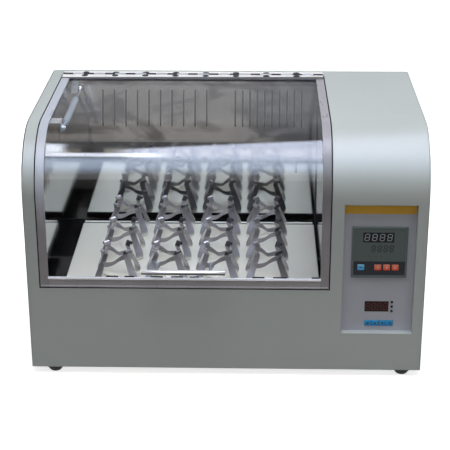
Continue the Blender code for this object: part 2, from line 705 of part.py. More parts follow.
def make_fan():
    wheel_front, motor_front = fan_places()
    axis = make_axis("fan_axis", (FAN_X, wheel_front, FAN_Z))
    hub = rod((FAN_X, wheel_front, FAN_Z), "Y", FAN_HUB_RADIUS, FAN_DEPTH)
    plate_thickness = FAN_BLADE_THICKNESS
    plate = rod((FAN_X, wheel_front + FAN_DEPTH - plate_thickness, FAN_Z), "Y",
                FAN_RADIUS, plate_thickness)
    blades = []
    for i in range(FAN_BLADES):
        blade = box(FAN_HUB_RADIUS / 2, FAN_RADIUS, 0, FAN_DEPTH - plate_thickness / 2,
                    -FAN_BLADE_THICKNESS / 2, FAN_BLADE_THICKNESS / 2)
        turn = Matrix.Rotation(FULL_TURN * i / FAN_BLADES, 4, "Y")
        blade.data.transform(Matrix.Translation((FAN_X, wheel_front, FAN_Z)) @ turn)
        blades.append(blade)
    weld(hub, plate, *blades)
    bore = rod((FAN_X, wheel_front - CUT_OVERRUN, FAN_Z), "Y", FAN_SHAFT_RADIUS + SEAT_GAP * 2,
               FAN_DEPTH + CUT_OVERRUN * 2, SHAFT_STEPS)
    cut(hub, bore)
    finish_piece(hub, "fan_wheel", "satin_aluminium", axis)
    rear = CABINET_DEPTH - SHEET - SEAT_GAP
    motor = rod((FAN_X, motor_front, FAN_Z), "Y", FAN_MOTOR_RADIUS, rear - motor_front)
    shaft = rod((FAN_X, wheel_front, FAN_Z), "Y", FAN_SHAFT_RADIUS,
                FAN_DEPTH + FAN_MOTOR_GAP * 2, SHAFT_STEPS)
    weld(motor, shaft)
    finish_piece(motor, "fan_motor", "cast_metal")


HEATER_LEFT_STEP = 0.0655
HEATER_RIGHT_STEP = 0.051
HEATER_DUCT_DEPTH = 0.020
HEATER_LEFT = CHAMBER_LEFT + HEATER_LEFT_STEP
HEATER_RIGHT = CHAMBER_RIGHT - HEATER_RIGHT_STEP
HEATER_TUBE_RADIUS = 0.0035
HEATER_Y = CHAMBER_BACK + HEATER_DUCT_DEPTH
HEATER_BEND_POINTS = 6


def make_heater():
    """A hairpin heater: two runs along the duct, its ends turned back into the rear panel."""
    bend = HEATER_RISE / 2
    rear = CABINET_DEPTH - SHEET - SEAT_GAP
    points = [(HEATER_LEFT, rear, HEATER_LOW)]
    points += corner((HEATER_LEFT, HEATER_Y), (1, 0), (0, -1), bend, HEATER_LOW)
    for i in range(HEATER_BEND_POINTS * 2 + 1):
        angle = -QUARTER_TURN + math.pi * i / (HEATER_BEND_POINTS * 2)
        points.append((HEATER_RIGHT + bend * math.cos(angle), HEATER_Y,
                       HEATER_LOW + bend + bend * math.sin(angle)))
    top = HEATER_LOW + HEATER_RISE
    points += corner((HEATER_LEFT, HEATER_Y), (1, 0), (0, -1), bend, top)[::-1]
    points.append((HEATER_LEFT, rear, top))
    tube = bpy.data.curves.new("heater", "CURVE")
    tube.dimensions = "3D"
    tube.bevel_depth = HEATER_TUBE_RADIUS
    tube.bevel_resolution = 1
    tube.use_fill_caps = True
    spline = tube.splines.new("POLY")
    spline.points.add(len(points) - 1)
    for point, place in zip(spline.points, points):
        point.co = (*place, 1)
    piece = bpy.data.objects.new("heater", tube)
    CUTTERS.objects.link(piece)
    bpy.context.view_layer.update()
    mesh = bpy.data.meshes.new_from_object(
        piece.evaluated_get(bpy.context.evaluated_depsgraph_get()))
    bpy.data.objects.remove(piece, do_unlink=True)
    shape = bmesh.new()
    shape.from_mesh(mesh)
    bmesh.ops.remove_doubles(shape, verts=shape.verts, dist=MERGE_DISTANCE)
    heater = object_from_bmesh(shape)
    finish_piece(heater, "heater_element", "spring_steel", smooth_angle=60)


def corner(place, along, away, radius, z):
    """Points round a quarter bend that turns from the way back (+Y) to the way along X."""
    x, y = place
    points = []
    for i in range(HEATER_BEND_POINTS + 1):
        angle = QUARTER_TURN * i / HEATER_BEND_POINTS
        points.append((x + along[0] * radius * (1 - math.cos(angle)),
                       y - away[1] * radius * (1 - math.sin(angle)), z))
    return points


# Drive

def crank_places():
    """Fixed axes of the drive crank and the two idlers that hold the tray level."""
    return [(CHAMBER_CENTRE_X, DRIVE_CRANK_Y),
            (CHAMBER_CENTRE_X - IDLER_SPREAD, IDLER_Y),
            (CHAMBER_CENTRE_X + IDLER_SPREAD, IDLER_Y)]


MOTOR_TO_SIDE = 0.105
MOTOR_STEP_Y = 0.048
MOTOR_X = HALF_WIDTH - MOTOR_TO_SIDE
MOTOR_Y = DRIVE_CRANK_Y + MOTOR_STEP_Y
MOTOR_RADIUS = 0.038
MOTOR_HEIGHT = 0.092
MOTOR_SHAFT_RADIUS = 0.005
DECK_SIDE_MARGIN = 0.040
DECK_MOTOR_MARGIN = 0.047
DECK_FRONT_MARGIN = 0.034
DECK_BACK_MARGIN = 0.093
DECK_LEFT = CHAMBER_CENTRE_X - IDLER_SPREAD - DECK_SIDE_MARGIN
DECK_RIGHT = MOTOR_X + DECK_MOTOR_MARGIN
DECK_FRONT = IDLER_Y - DECK_FRONT_MARGIN
DECK_BACK = DRIVE_CRANK_Y + DECK_BACK_MARGIN
BEARING_TOP = 0.098
DRIVE_PULLEY_RADIUS = 0.070
MOTOR_PULLEY_RADIUS = 0.0225
PULLEY_BOTTOM = 0.030
PULLEY_HEIGHT = 0.014
PULLEY_FLANGE = 0.0025
PULLEY_FLANGE_THICKNESS = 0.002
BELT_THICKNESS = 0.0030
BELT_STEPS = 24


def make_drive_deck():
    """A bent table on the base pan, with the three bearing housings on it."""
    foot = SHEET + SEAT_GAP
    outline = [(DECK_FRONT, foot), (DECK_FRONT, DECK_TOP), (DECK_BACK, DECK_TOP),
               (DECK_BACK, foot), (DECK_BACK - DECK_SHEET, foot),
               (DECK_BACK - DECK_SHEET, DECK_TOP - DECK_SHEET),
               (DECK_FRONT + DECK_SHEET, DECK_TOP - DECK_SHEET), (DECK_FRONT + DECK_SHEET, foot)]
    deck = outline_slab(outline, "X", DECK_LEFT, DECK_RIGHT)
    low = DECK_TOP - DECK_SHEET / 2
    housings = rods([(x, y, low) for x, y in crank_places()], "Z", BEARING_RADIUS,
                    BEARING_TOP - low)
    weld(deck, housings)
    bore_low = DECK_TOP - DECK_SHEET - CUT_OVERRUN
    bores = rods([(x, y, bore_low) for x, y in crank_places()], "Z",
                 SHAFT_RADIUS + BEARING_BORE_GAP, BEARING_TOP + CUT_OVERRUN - bore_low,
                 SHAFT_STEPS)
    motor_hole = rod((MOTOR_X, MOTOR_Y, bore_low), "Z", MOTOR_SHAFT_RADIUS * 2,
                     DECK_TOP + CUT_OVERRUN - bore_low, SHAFT_STEPS)
    cut(deck, bores, motor_hole)
    finish_piece(deck, "drive_deck", "cast_metal")


def crank_parts(x, y):
    """Shaft, disc and eccentric pin of one crank, its pin pointing to +X at rest."""
    disc_low = CHAMBER_FLOOR + CRANK_FLOOR_CLEARANCE
    pin_top = TRAY_TOP - TRAY_SHEET - CARRIER_THICKNESS - ORBIT_RADIUS
    disc = rod((x, y, disc_low), "Z", CRANK_DISC_RADIUS, CRANK_DISC_THICKNESS)
    shaft_low = PULLEY_BOTTOM - PULLEY_FLANGE if (x, y) == crank_places()[0] else (
        DECK_TOP - DECK_SHEET * 3)
    shaft = rod((x, y, shaft_low), "Z", SHAFT_RADIUS,
                disc_low + CRANK_DISC_THICKNESS / 2 - shaft_low, SHAFT_STEPS)
    collar = rod((x, y, BEARING_TOP + SEAT_GAP), "Z", CRANK_COLLAR_RADIUS,
                 disc_low + CRANK_DISC_THICKNESS / 4 - BEARING_TOP - SEAT_GAP, SHAFT_STEPS)
    pin_low = disc_low + CRANK_DISC_THICKNESS / 2
    pin = rod((x + ORBIT_RADIUS, y, pin_low), "Z", CRANK_PIN_RADIUS, pin_top - pin_low,
              SHAFT_STEPS)
    return disc, shaft, collar, pin


def pulley(x, y, radius):
    """A flanged pulley for a flat belt, turned round its shaft."""
    top = PULLEY_BOTTOM + PULLEY_HEIGHT
    rim = radius + PULLEY_FLANGE
    profile = [(0, top), (rim, top), (rim, top - PULLEY_FLANGE_THICKNESS),
               (radius, top - PULLEY_FLANGE_THICKNESS),
               (radius, PULLEY_BOTTOM + PULLEY_FLANGE_THICKNESS),
               (rim, PULLEY_BOTTOM + PULLEY_FLANGE_THICKNESS), (rim, PULLEY_BOTTOM),
               (0, PULLEY_BOTTOM)]
    return turned(profile, (x, y, 0), steps=BELT_STEPS)


def make_cranks():
    axes = {}
    for name, (x, y) in zip(("drive_crank", "idler_crank_left", "idler_crank_right"),
                            crank_places()):
        axis = make_axis(name + "_axis", (x, y, BEARING_TOP))
        disc, shaft, collar, pin = crank_parts(x, y)
        tools = [shaft, collar, pin]
        if name == "drive_crank":
            tools.append(pulley(x, y, DRIVE_PULLEY_RADIUS))
        weld(disc, *tools)
        finish_piece(disc, name, "cast_metal", axis)
        axes[name] = axis
    return axes["drive_crank"]


def make_motor():
    axis = make_axis("motor_axis", (MOTOR_X, MOTOR_Y, DECK_TOP))
    body = rod((MOTOR_X, MOTOR_Y, DECK_TOP + SEAT_GAP), "Z", MOTOR_RADIUS, MOTOR_HEIGHT)
    shaft_low = PULLEY_BOTTOM + PULLEY_FLANGE
    shaft = rod((MOTOR_X, MOTOR_Y, shaft_low), "Z", MOTOR_SHAFT_RADIUS,
                DECK_TOP + MOTOR_SHAFT_RADIUS - shaft_low, SHAFT_STEPS)
    cap = rod((MOTOR_X, MOTOR_Y, DECK_TOP + MOTOR_HEIGHT - SEAT_GAP), "Z", MOTOR_RADIUS / 2,
              MOTOR_RADIUS / 4)
    weld(body, shaft, cap)
    finish_piece(body, "drive_motor", "cast_metal")
    wheel = pulley(MOTOR_X, MOTOR_Y, MOTOR_PULLEY_RADIUS)
    bore = rod((MOTOR_X, MOTOR_Y, PULLEY_BOTTOM - CUT_OVERRUN), "Z",
               MOTOR_SHAFT_RADIUS + BEARING_BORE_GAP, PULLEY_HEIGHT + CUT_OVERRUN * 2, SHAFT_STEPS)
    cut(wheel, bore)
    finish_piece(wheel, "motor_pulley", "satin_aluminium", axis)


def belt_line(clearance):
    """The outline round both pulleys: two arcs and the straight runs that touch them."""
    (x0, y0) = crank_places()[0]
    away = Vector((MOTOR_X - x0, MOTOR_Y - y0))
    heading = math.atan2(away.y, away.x)
    lean = math.acos((DRIVE_PULLEY_RADIUS - MOTOR_PULLEY_RADIUS) / away.length)
    corner_share = 1 / math.cos(math.pi / BELT_STEPS)
    points = []
    for x, y, radius, start, turn in (
            (x0, y0, DRIVE_PULLEY_RADIUS, heading + lean, FULL_TURN - 2 * lean),
            (MOTOR_X, MOTOR_Y, MOTOR_PULLEY_RADIUS, heading - lean, 2 * lean)):
        reach = (radius + clearance) * corner_share
        steps = max(4, round(BELT_STEPS * turn / FULL_TURN))
        for i in range(steps + 1):
            angle = start + turn * i / steps
            points.append((x + reach * math.cos(angle), y + reach * math.sin(angle)))
    return points


def make_drive_belt():
    low = PULLEY_BOTTOM + PULLEY_FLANGE_THICKNESS + SEAT_GAP
    high = PULLEY_BOTTOM + PULLEY_HEIGHT - PULLEY_FLANGE_THICKNESS - SEAT_GAP
    belt = outline_ring([belt_line(SEAT_GAP + BELT_THICKNESS), belt_line(SEAT_GAP)], low, high)
    finish_piece(belt, "drive_belt", "black_rubber", smooth_angle=20)


# Tray with its carrier

CARRIER_MARGIN = 0.030
CARRIER_WIDTH = 2 * (IDLER_SPREAD + CARRIER_MARGIN)
CARRIER_DEPTH = 2 * (CRANK_OFFSET_Y + CARRIER_MARGIN)
CARRIER_SPINE = 0.055
CARRIER_SIDE_RIM = 0.015
CARRIER_FRONT_BAND = 0.080
CARRIER_BACK_RIM = 0.020
CARRIER_BOSS_RADIUS = 0.012


def make_tray_carrier(axis):
    top = TRAY_TOP - TRAY_SHEET - SEAT_GAP
    low = top - CARRIER_THICKNESS
    plate = box(TRAY_CENTRE_X - CARRIER_WIDTH / 2, TRAY_CENTRE_X + CARRIER_WIDTH / 2,
                DRIVE_Y - CARRIER_DEPTH / 2, DRIVE_Y + CARRIER_DEPTH / 2, low, top)
    boss_low = CHAMBER_FLOOR + CRANK_FLOOR_CLEARANCE + CRANK_DISC_THICKNESS + SEAT_GAP
    places = [(x + ORBIT_RADIUS, y) for x, y in crank_places()]
    bosses = rods([(x, y, boss_low) for x, y in places], "Z", CARRIER_BOSS_RADIUS,
                  low + CARRIER_THICKNESS / 2 - boss_low)
    weld(plate, bosses)
    bore_top = TRAY_TOP - TRAY_SHEET - CARRIER_THICKNESS - ORBIT_RADIUS + SEAT_GAP * 2
    bores = rods([(x, y, boss_low - CUT_OVERRUN) for x, y in places], "Z",
                 CRANK_PIN_RADIUS + BEARING_BORE_GAP, bore_top - boss_low + CUT_OVERRUN,
                 SHAFT_STEPS)
    outer = CARRIER_WIDTH / 2 - CARRIER_SIDE_RIM
    windows = boxes([(TRAY_CENTRE_X + start, TRAY_CENTRE_X + end,
                      DRIVE_Y - CARRIER_DEPTH / 2 + CARRIER_FRONT_BAND,
                      DRIVE_Y + CARRIER_DEPTH / 2 - CARRIER_BACK_RIM,
                      low - CUT_OVERRUN, top + CUT_OVERRUN)
                     for start, end in ((-outer, -CARRIER_SPINE), (CARRIER_SPINE, outer))])
    cut(plate, bores, windows)
    finish_piece(plate, "tray_carrier", "satin_aluminium", axis)


def make_shaking_tray(axis):
    """A plate with its edges folded down."""
    tray = open_box(TRAY_CENTRE_X - TRAY_WIDTH / 2, TRAY_CENTRE_X + TRAY_WIDTH / 2,
                    TRAY_FRONT, TRAY_BACK, -TRAY_EDGE, 0, TRAY_SHEET)
    flip = Matrix.Diagonal((1, 1, -1, 1))
    tray.data.transform(Matrix.Translation((0, 0, TRAY_TOP - TRAY_EDGE)) @ flip)
    tray.data.flip_normals()
    finish_piece(tray, "shaking_tray", "polished_steel", axis)


PRONG_SHARES = ((0.90, 0), (0.99, 0.05), (1.0, 0.20), (0.66, 0.66), (0.53, 0.86), (0.64, 1.0))
SECOND_STRIP_LIFT_SHARE = 0.8
BAND_HEIGHT = 0.008
BAND_LOW = 0.038
BAND_THICKNESS = 0.0010
BAND_CORNER_RADIUS = 0.0330
BAND_SIDE_RADIUS = 0.0185
BAND_SAG = 0.0035
BAND_POINTS = 24
BAND_LOBES = 4
CLAMP_SCREW_RADIUS = 0.0045
CLAMP_SCREW_HEAD = 0.0025


def prong_strip(lift, turn):
    """One bent strip: up one side, across the base and up the other."""
    rise = CLAMP_HEIGHT - PRONG_THICKNESS / 2 - lift
    half = [(reach * CLAMP_ROOT_RADIUS, lift + height * rise) for reach, height in PRONG_SHARES]
    points = [(-x, z) for x, z in half[::-1]] + half
    return ribbon(points, PRONG_WIDTH, PRONG_THICKNESS, Matrix.Rotation(turn, 4, "Z"))


def clamp_band():
    """The spring band round the four prongs, drawn in and a little lower between them."""
    shape = bmesh.new()
    middle = (BAND_CORNER_RADIUS + BAND_SIDE_RADIUS) / 2
    swing = (BAND_CORNER_RADIUS - BAND_SIDE_RADIUS) / 2
    rings = []
    for inner in (0, BAND_THICKNESS):
        for high in (0, BAND_HEIGHT):
            ring = []
            for i in range(BAND_POINTS):
                angle = FULL_TURN * i / BAND_POINTS
                wave = math.cos(BAND_LOBES * (angle - QUARTER_TURN / 2))
                radius = middle + swing * wave - inner
                z = BAND_LOW + high - BAND_SAG * (1 - wave) / 2
                ring.append(shape.verts.new((radius * math.cos(angle),
                                             radius * math.sin(angle), z)))
            rings.append(ring)
    outer_low, outer_high, inner_low, inner_high = rings
    for a, b in ((outer_low, outer_high), (outer_high, inner_high),
                 (inner_high, inner_low), (inner_low, outer_low)):
        for i in range(BAND_POINTS):
            j = (i + 1) % BAND_POINTS
            shape.faces.new((a[i], a[j], b[j], b[i]))
    return object_from_bmesh(shape)


def clamp_mesh():
    base = PRONG_THICKNESS / 2
    clamp = prong_strip(base, QUARTER_TURN / 2)
    other = prong_strip(base + PRONG_THICKNESS * SECOND_STRIP_LIFT_SHARE, -QUARTER_TURN / 2)
    screw = rod((0, 0, base), "Z", CLAMP_SCREW_RADIUS, PRONG_THICKNESS * 2 + CLAMP_SCREW_HEAD,
                SHAFT_STEPS, CLAMP_SCREW_RADIUS / 2)
    weld(clamp, other, clamp_band(), screw)
    return clamp


def make_clamps(axis):
    master = clamp_mesh()
    for row in range(CLAMP_ROWS):
        for column in range(CLAMP_COLUMNS):
            x = TRAY_CENTRE_X + (column - (CLAMP_COLUMNS - 1) / 2) * CLAMP_COLUMN_PITCH
            y = CLAMP_FIRST_ROW_Y + row * CLAMP_ROW_PITCH
            clamp = bpy.data.objects.new("clamp", master.data)
            clamp.location = (x, y, TRAY_TOP + SEAT_GAP)
            PARTS.objects.link(clamp)
            finish_piece(clamp, f"flask_clamp_{row + 1}_{column + 1}", "spring_steel", axis, 40)
    bpy.data.objects.remove(master, do_unlink=True)


# Lid

def make_lid_frame(axis):
    left = OPENING_LEFT + LID_GAP
    right = OPENING_RIGHT - LID_GAP
    low = OPENING_BOTTOM + LID_GAP
    back = LID_BACK
    frame = skin_slab(left, right, 0, FRAME_DEPTH, low, back)
    hollow = skin_slab(left + FRAME_SHEET, right - FRAME_SHEET, FRAME_SHEET,
                       FRAME_DEPTH + CUT_OVERRUN, low + FRAME_SHEET, back - FRAME_SHEET)
    aperture = skin_window(left + FRAME_SIDE_WIDTH, right - FRAME_SIDE_WIDTH,
                           low + FRAME_BOTTOM_WIDTH, back - FRAME_BACK_WIDTH)
    cut(frame, hollow, aperture)
    finish_piece(frame, "lid_frame", "satin_aluminium", axis, 20)


def make_lid_window(axis):
    inset = FRAME_SHEET + SEAT_GAP
    left = OPENING_LEFT + LID_GAP + inset
    right = OPENING_RIGHT - LID_GAP - inset
    window = skin_slab(left, right, inset, inset + WINDOW_THICKNESS,
                       OPENING_BOTTOM + LID_GAP + inset, LID_BACK - inset)
    finish_piece(window, "lid_window", "clear_acrylic", axis, 20)


def make_lid_handle(axis):
    """A straight bar on two posts that meet the window."""
    end_radius = HANDLE_RADIUS - HANDLE_END_CHAMFER
    bar = turned([(0, HANDLE_LENGTH), (end_radius, HANDLE_LENGTH),
                  (HANDLE_RADIUS, HANDLE_LENGTH - HANDLE_END_CHAMFER),
                  (HANDLE_RADIUS, HANDLE_END_CHAMFER), (end_radius, 0), (0, 0)],
                 (LID_CENTRE_X - HANDLE_LENGTH / 2, -HANDLE_STANDOFF, HANDLE_Z), "X", SHAFT_STEPS)
    reach = HANDLE_STANDOFF + FRAME_SHEET
    posts = rods([(LID_CENTRE_X + side * HANDLE_POST_SPACING / 2, -HANDLE_STANDOFF, HANDLE_Z)
                  for side in (-1, 1)], "Y", HANDLE_POST_RADIUS, reach, SHAFT_STEPS)
    weld(bar, posts)
    finish_piece(bar, "lid_handle", "chrome", axis)


def knuckle_span(index):
    first = LID_CENTRE_X - KNUCKLE_COUNT * HINGE_PITCH / 2
    start = first + index * HINGE_PITCH
    return start + SEAT_GAP / 2, start + HINGE_PITCH - SEAT_GAP / 2


def hinge_leaf(own, side, reach):
    """A leaf's plate with tabs that run to its own knuckles; side is -1 for the front leaf."""
    near = HINGE_Y + side * (KNUCKLE_RADIUS + SEAT_GAP)
    far = HINGE_Y + side * reach
    start = knuckle_span(0)[0]
    end = knuckle_span(KNUCKLE_COUNT - 1)[1]
    points = [(start, far), (end, far), (end, near)]
    for i in reversed(own):
        left, right = knuckle_span(i)
        left += SEAT_GAP
        right -= SEAT_GAP
        points += [(right, near), (right, HINGE_Y), (left, HINGE_Y), (left, near)]
    points.append((start, near))
    low = CABINET_HEIGHT + SEAT_GAP
    return outline_slab(points, "Z", low, low + LEAF_THICKNESS)


def make_cabinet_leaf():
    """The rear leaf holds the pin: its knuckles and the pin are one stepped spindle."""
    own = range(0, KNUCKLE_COUNT, 2)
    plate = hinge_leaf(own, 1, REAR_LEAF_REACH)
    profile = []
    for i in own:
        start, end = knuckle_span(i)
        profile += [(HINGE_PIN_RADIUS, start), (KNUCKLE_RADIUS, start), (KNUCKLE_RADIUS, end),
                    (HINGE_PIN_RADIUS, end)]
    profile = [(0, profile[0][1])] + profile[1:-1] + [(0, profile[-1][1])]
    spindle = turned(profile[::-1], (0, HINGE_Y, HINGE_Z), "X", KNUCKLE_SIDES)
    weld(plate, spindle)
    finish_piece(plate, "cabinet_hinge_leaf", "polished_steel")


def make_lid_leaf(axis):
    """The front leaf turns on the pin: its knuckles are bored for it."""
    own = range(1, KNUCKLE_COUNT, 2)
    plate = hinge_leaf(own, -1, FRONT_LEAF_REACH)
    knuckles = rods([(knuckle_span(i)[0], HINGE_Y, HINGE_Z) for i in own], "X", KNUCKLE_RADIUS,
                    HINGE_PITCH - SEAT_GAP, KNUCKLE_SIDES)
    weld(plate, knuckles)
    start = knuckle_span(0)[0] - CUT_OVERRUN
    end = knuckle_span(KNUCKLE_COUNT - 1)[1] + CUT_OVERRUN
    bore = rod((start, HINGE_Y, HINGE_Z), "X", HINGE_PIN_RADIUS + SEAT_GAP, end - start,
               KNUCKLE_SIDES)
    cut(plate, bore)
    finish_piece(plate, "lid_hinge_leaf", "polished_steel", axis)


# Gas strut

STRUT_TO_WALL = 0.025
STRUT_DROP = 0.020
STRUT_SHOULDER_STEP = 0.009
STRUT_REAR_LEVER = 0.026
STRUT_X = CHAMBER_LEFT + STRUT_TO_WALL
STRUT_Z = CABINET_HEIGHT - STRUT_DROP
STRUT_FRONT_Y = SHOULDER_RADIUS + STRUT_SHOULDER_STEP
STRUT_REAR_Y = HINGE_Y - STRUT_REAR_LEVER
STRUT_TUBE_RADIUS = 0.006
STRUT_NECK_LENGTH = 0.030
STRUT_ROD_SHOWN = 0.074
STRUT_ROD_INSET = 0.050
STRUT_TUBE_FRONT = STRUT_FRONT_Y + STRUT_NECK_LENGTH
STRUT_TUBE_BACK = STRUT_REAR_Y - STRUT_ROD_SHOWN
STRUT_ROD_FRONT = STRUT_TUBE_FRONT + STRUT_ROD_INSET
STRUT_BORE_RADIUS = 0.0034
STRUT_ROD_RADIUS = 0.0024
STRUT_NECK_RADIUS = 0.0020
STRUT_EYE_RADIUS = 0.0065
STRUT_EYE_THICKNESS = 0.005
STRUT_STUD_RADIUS = 0.0026
STRUT_HEAD_RADIUS = 0.0042
STRUT_EAR_THICKNESS = 0.0015
BRACKET_WIDTH = 0.028
REAR_BRACKET_WIDTH = 0.017


def strut_eye(y):
    return rod((STRUT_X - STRUT_EYE_THICKNESS / 2, y, STRUT_Z), "X", STRUT_EYE_RADIUS,
               STRUT_EYE_THICKNESS, SHAFT_STEPS)


def eye_bore(y):
    return rod((STRUT_X - STRUT_EYE_THICKNESS / 2 - CUT_OVERRUN, y, STRUT_Z), "X",
               STRUT_STUD_RADIUS + SEAT_GAP, STRUT_EYE_THICKNESS + CUT_OVERRUN * 2, SHAFT_STEPS)


def make_strut(lid_axis):
    tube_axis = make_axis("strut_tube_axis", (STRUT_X, STRUT_FRONT_Y, STRUT_Z), lid_axis)
    rod_axis = make_axis("strut_rod_axis", (STRUT_X, STRUT_REAR_Y, STRUT_Z), tube_axis)
    tube = rod((STRUT_X, STRUT_TUBE_FRONT, STRUT_Z), "Y", STRUT_TUBE_RADIUS,
               STRUT_TUBE_BACK - STRUT_TUBE_FRONT, SHAFT_STEPS)
    neck = rod((STRUT_X, STRUT_FRONT_Y, STRUT_Z), "Y", STRUT_NECK_RADIUS,
               STRUT_TUBE_FRONT - STRUT_FRONT_Y + STRUT_TUBE_RADIUS / 2, SHAFT_STEPS)
    weld(tube, neck, strut_eye(STRUT_FRONT_Y))
    bore_front = STRUT_TUBE_FRONT + STRUT_TUBE_RADIUS * 2
    bore = rod((STRUT_X, bore_front, STRUT_Z), "Y", STRUT_BORE_RADIUS,
               STRUT_TUBE_BACK + CUT_OVERRUN - bore_front, SHAFT_STEPS)
    cut(tube, bore, eye_bore(STRUT_FRONT_Y))
    finish_piece(tube, "strut_tube", "pale_blue_tube", tube_axis)
    stem = rod((STRUT_X, STRUT_ROD_FRONT, STRUT_Z), "Y", STRUT_ROD_RADIUS,
               STRUT_REAR_Y - STRUT_ROD_FRONT, SHAFT_STEPS)
    weld(stem, strut_eye(STRUT_REAR_Y))
    cut(stem, eye_bore(STRUT_REAR_Y))
    finish_piece(stem, "strut_rod", "chrome", rod_axis)


def ear_span():
    """Both brackets' ears stand just left of the eyes."""
    right = STRUT_X - STRUT_EYE_THICKNESS / 2 - SEAT_GAP
    return right - STRUT_EAR_THICKNESS, right


def make_strut_lid_bracket(axis):
    """An angle under the window with a headed stud through the tube's eye."""
    ear_left, ear_right = ear_span()
    top = CABINET_HEIGHT - FRAME_SHEET - SEAT_GAP - WINDOW_THICKNESS - SEAT_GAP
    foot = box(CHAMBER_LEFT + SEAL_EDGE_CLEARANCE * 4, ear_right,
               STRUT_FRONT_Y - BRACKET_WIDTH / 2, STRUT_FRONT_Y + BRACKET_WIDTH / 2,
               top - STRUT_EAR_THICKNESS, top)
    ear = box(ear_left, ear_right, STRUT_FRONT_Y - STRUT_EYE_RADIUS,
              STRUT_FRONT_Y + STRUT_EYE_RADIUS, STRUT_Z - STRUT_EYE_RADIUS,
              top - STRUT_EAR_THICKNESS / 2)
    stud_end = STRUT_X + STRUT_EYE_THICKNESS / 2 + SEAT_GAP
    stud_start = (ear_left + ear_right) / 2
    stud = rod((stud_start, STRUT_FRONT_Y, STRUT_Z), "X", STRUT_STUD_RADIUS,
               stud_end + STRUT_EAR_THICKNESS / 2 - stud_start, SHAFT_STEPS)
    head = rod((stud_end, STRUT_FRONT_Y, STRUT_Z), "X", STRUT_HEAD_RADIUS,
               STRUT_EAR_THICKNESS, SHAFT_STEPS)
    weld(foot, ear, stud, head)
    finish_piece(foot, "strut_lid_bracket", "chrome", axis)


def back_slope_y(z):
    """The inner face of the chamber's leaning back wall at a height."""
    top_y = OPENING_BACK - LEDGE_DEPTH
    top_z = CABINET_HEIGHT - LEDGE_DEPTH
    share = (z - BACK_WALL_TOP) / (top_z - BACK_WALL_TOP)
    return CHAMBER_BACK + (top_y - CHAMBER_BACK) * share


def make_strut_cabinet_bracket():
    """An angle on the leaning back wall; its ear stands beside the rod's eye."""
    ear_left, ear_right = ear_span()
    half = BRACKET_WIDTH / 2
    low = STRUT_Z - half
    high = CABINET_HEIGHT - LEDGE_DEPTH - SEAT_GAP * 2
    gap = SEAT_GAP * 2
    foot_line = [(back_slope_y(low) - gap, low), (back_slope_y(high) - gap, high),
                 (back_slope_y(high) - gap - STRUT_EAR_THICKNESS, high),
                 (back_slope_y(low) - gap - STRUT_EAR_THICKNESS, low)]
    foot = outline_slab(foot_line, "X", ear_right - REAR_BRACKET_WIDTH, ear_right)
    inner_gap = gap + STRUT_EAR_THICKNESS / 2
    ear_line = [(back_slope_y(low) - inner_gap, low + STRUT_EAR_THICKNESS),
                (back_slope_y(high) - inner_gap, high - STRUT_EAR_THICKNESS),
                (STRUT_REAR_Y - STRUT_EYE_RADIUS, STRUT_Z + STRUT_EYE_RADIUS / 2),
                (STRUT_REAR_Y - STRUT_EYE_RADIUS, STRUT_Z - STRUT_EYE_RADIUS)]
    ear = outline_slab(ear_line, "X", ear_left, ear_right)
    weld(foot, ear)
    finish_piece(foot, "strut_cabinet_bracket", "chrome")


# Control panel

CONTROLLER_STEP_X = 0.0008
CONTROLLER_SIZE = 0.097
SPEED_WINDOW_HEIGHT = 0.0200
SPEED_KEY_HEIGHT = 0.0106
TOP_GAP_SHARE = 0.3695
KEY_GAP_SHARE = 0.1471
BOTTOM_GAP_SHARE = 0.0787
PANEL_FREE_HEIGHT = (RECESS_TOP - RECESS_BOTTOM - CONTROLLER_SIZE - SPEED_WINDOW_HEIGHT
                     - SPEED_KEY_HEIGHT)
CONTROLLER_X = RECESS_CENTRE_X + CONTROLLER_STEP_X
CONTROLLER_Z = RECESS_TOP - TOP_GAP_SHARE * PANEL_FREE_HEIGHT - CONTROLLER_SIZE / 2
CONTROLLER_PROUD = 0.004
CONTROLLER_BODY = 0.090
CONTROLLER_BODY_DEPTH = 0.060
CONTROLLER_RIM = 0.0035
CONTROLLER_CHAMFER = 0.0015
DISPLAY_HEIGHT = 0.0610
DISPLAY_THICKNESS = 0.0018
KEY_PLATE_HEIGHT = 0.0265
KEY_BAND_RIM = 0.0051
KEY_ROW_RISE = 0.0018
KEY_BAND_STEP = 0.0008
CONTROLLER_KEY_WIDTH = 0.0118
CONTROLLER_KEY_HEIGHT = 0.0106
CONTROLLER_KEY_OFFSETS = {"set": -0.0318, "shift": -0.0022, "down": 0.0132, "up": 0.0282}
KEY_PROUD = 0.0012
KEY_LENGTH = 0.0055
KEY_POCKET_SLACK = 0.0018

SPEED_WINDOW_STEP_X = 0.0002
SPEED_WINDOW_X = RECESS_CENTRE_X - SPEED_WINDOW_STEP_X
SPEED_WINDOW_WIDTH = 0.0420
SPEED_WINDOW_THICKNESS = 0.0020
SPEED_KEY_STEP_X = 0.0048
SPEED_KEY_X = RECESS_CENTRE_X + SPEED_KEY_STEP_X
SPEED_KEY_Z = RECESS_BOTTOM + BOTTOM_GAP_SHARE * PANEL_FREE_HEIGHT + SPEED_KEY_HEIGHT / 2
SPEED_WINDOW_Z = (SPEED_KEY_Z + SPEED_KEY_HEIGHT / 2 + KEY_GAP_SHARE * PANEL_FREE_HEIGHT
                  + SPEED_WINDOW_HEIGHT / 2)
SPEED_KEY_PITCH = 0.0129
SPEED_KEY_WIDTH = 0.0118
LAMP_STEP_X = 0.0266
LAMP_X = RECESS_CENTRE_X + LAMP_STEP_X
LAMP_Z = SPEED_WINDOW_Z
LAMP_PITCH = 0.0088
LAMP_RADIUS = 0.0021
BOARD_GAP = 0.006
BOARD_THICKNESS = 0.0016
BOARD_HALF_WIDTH = 0.040
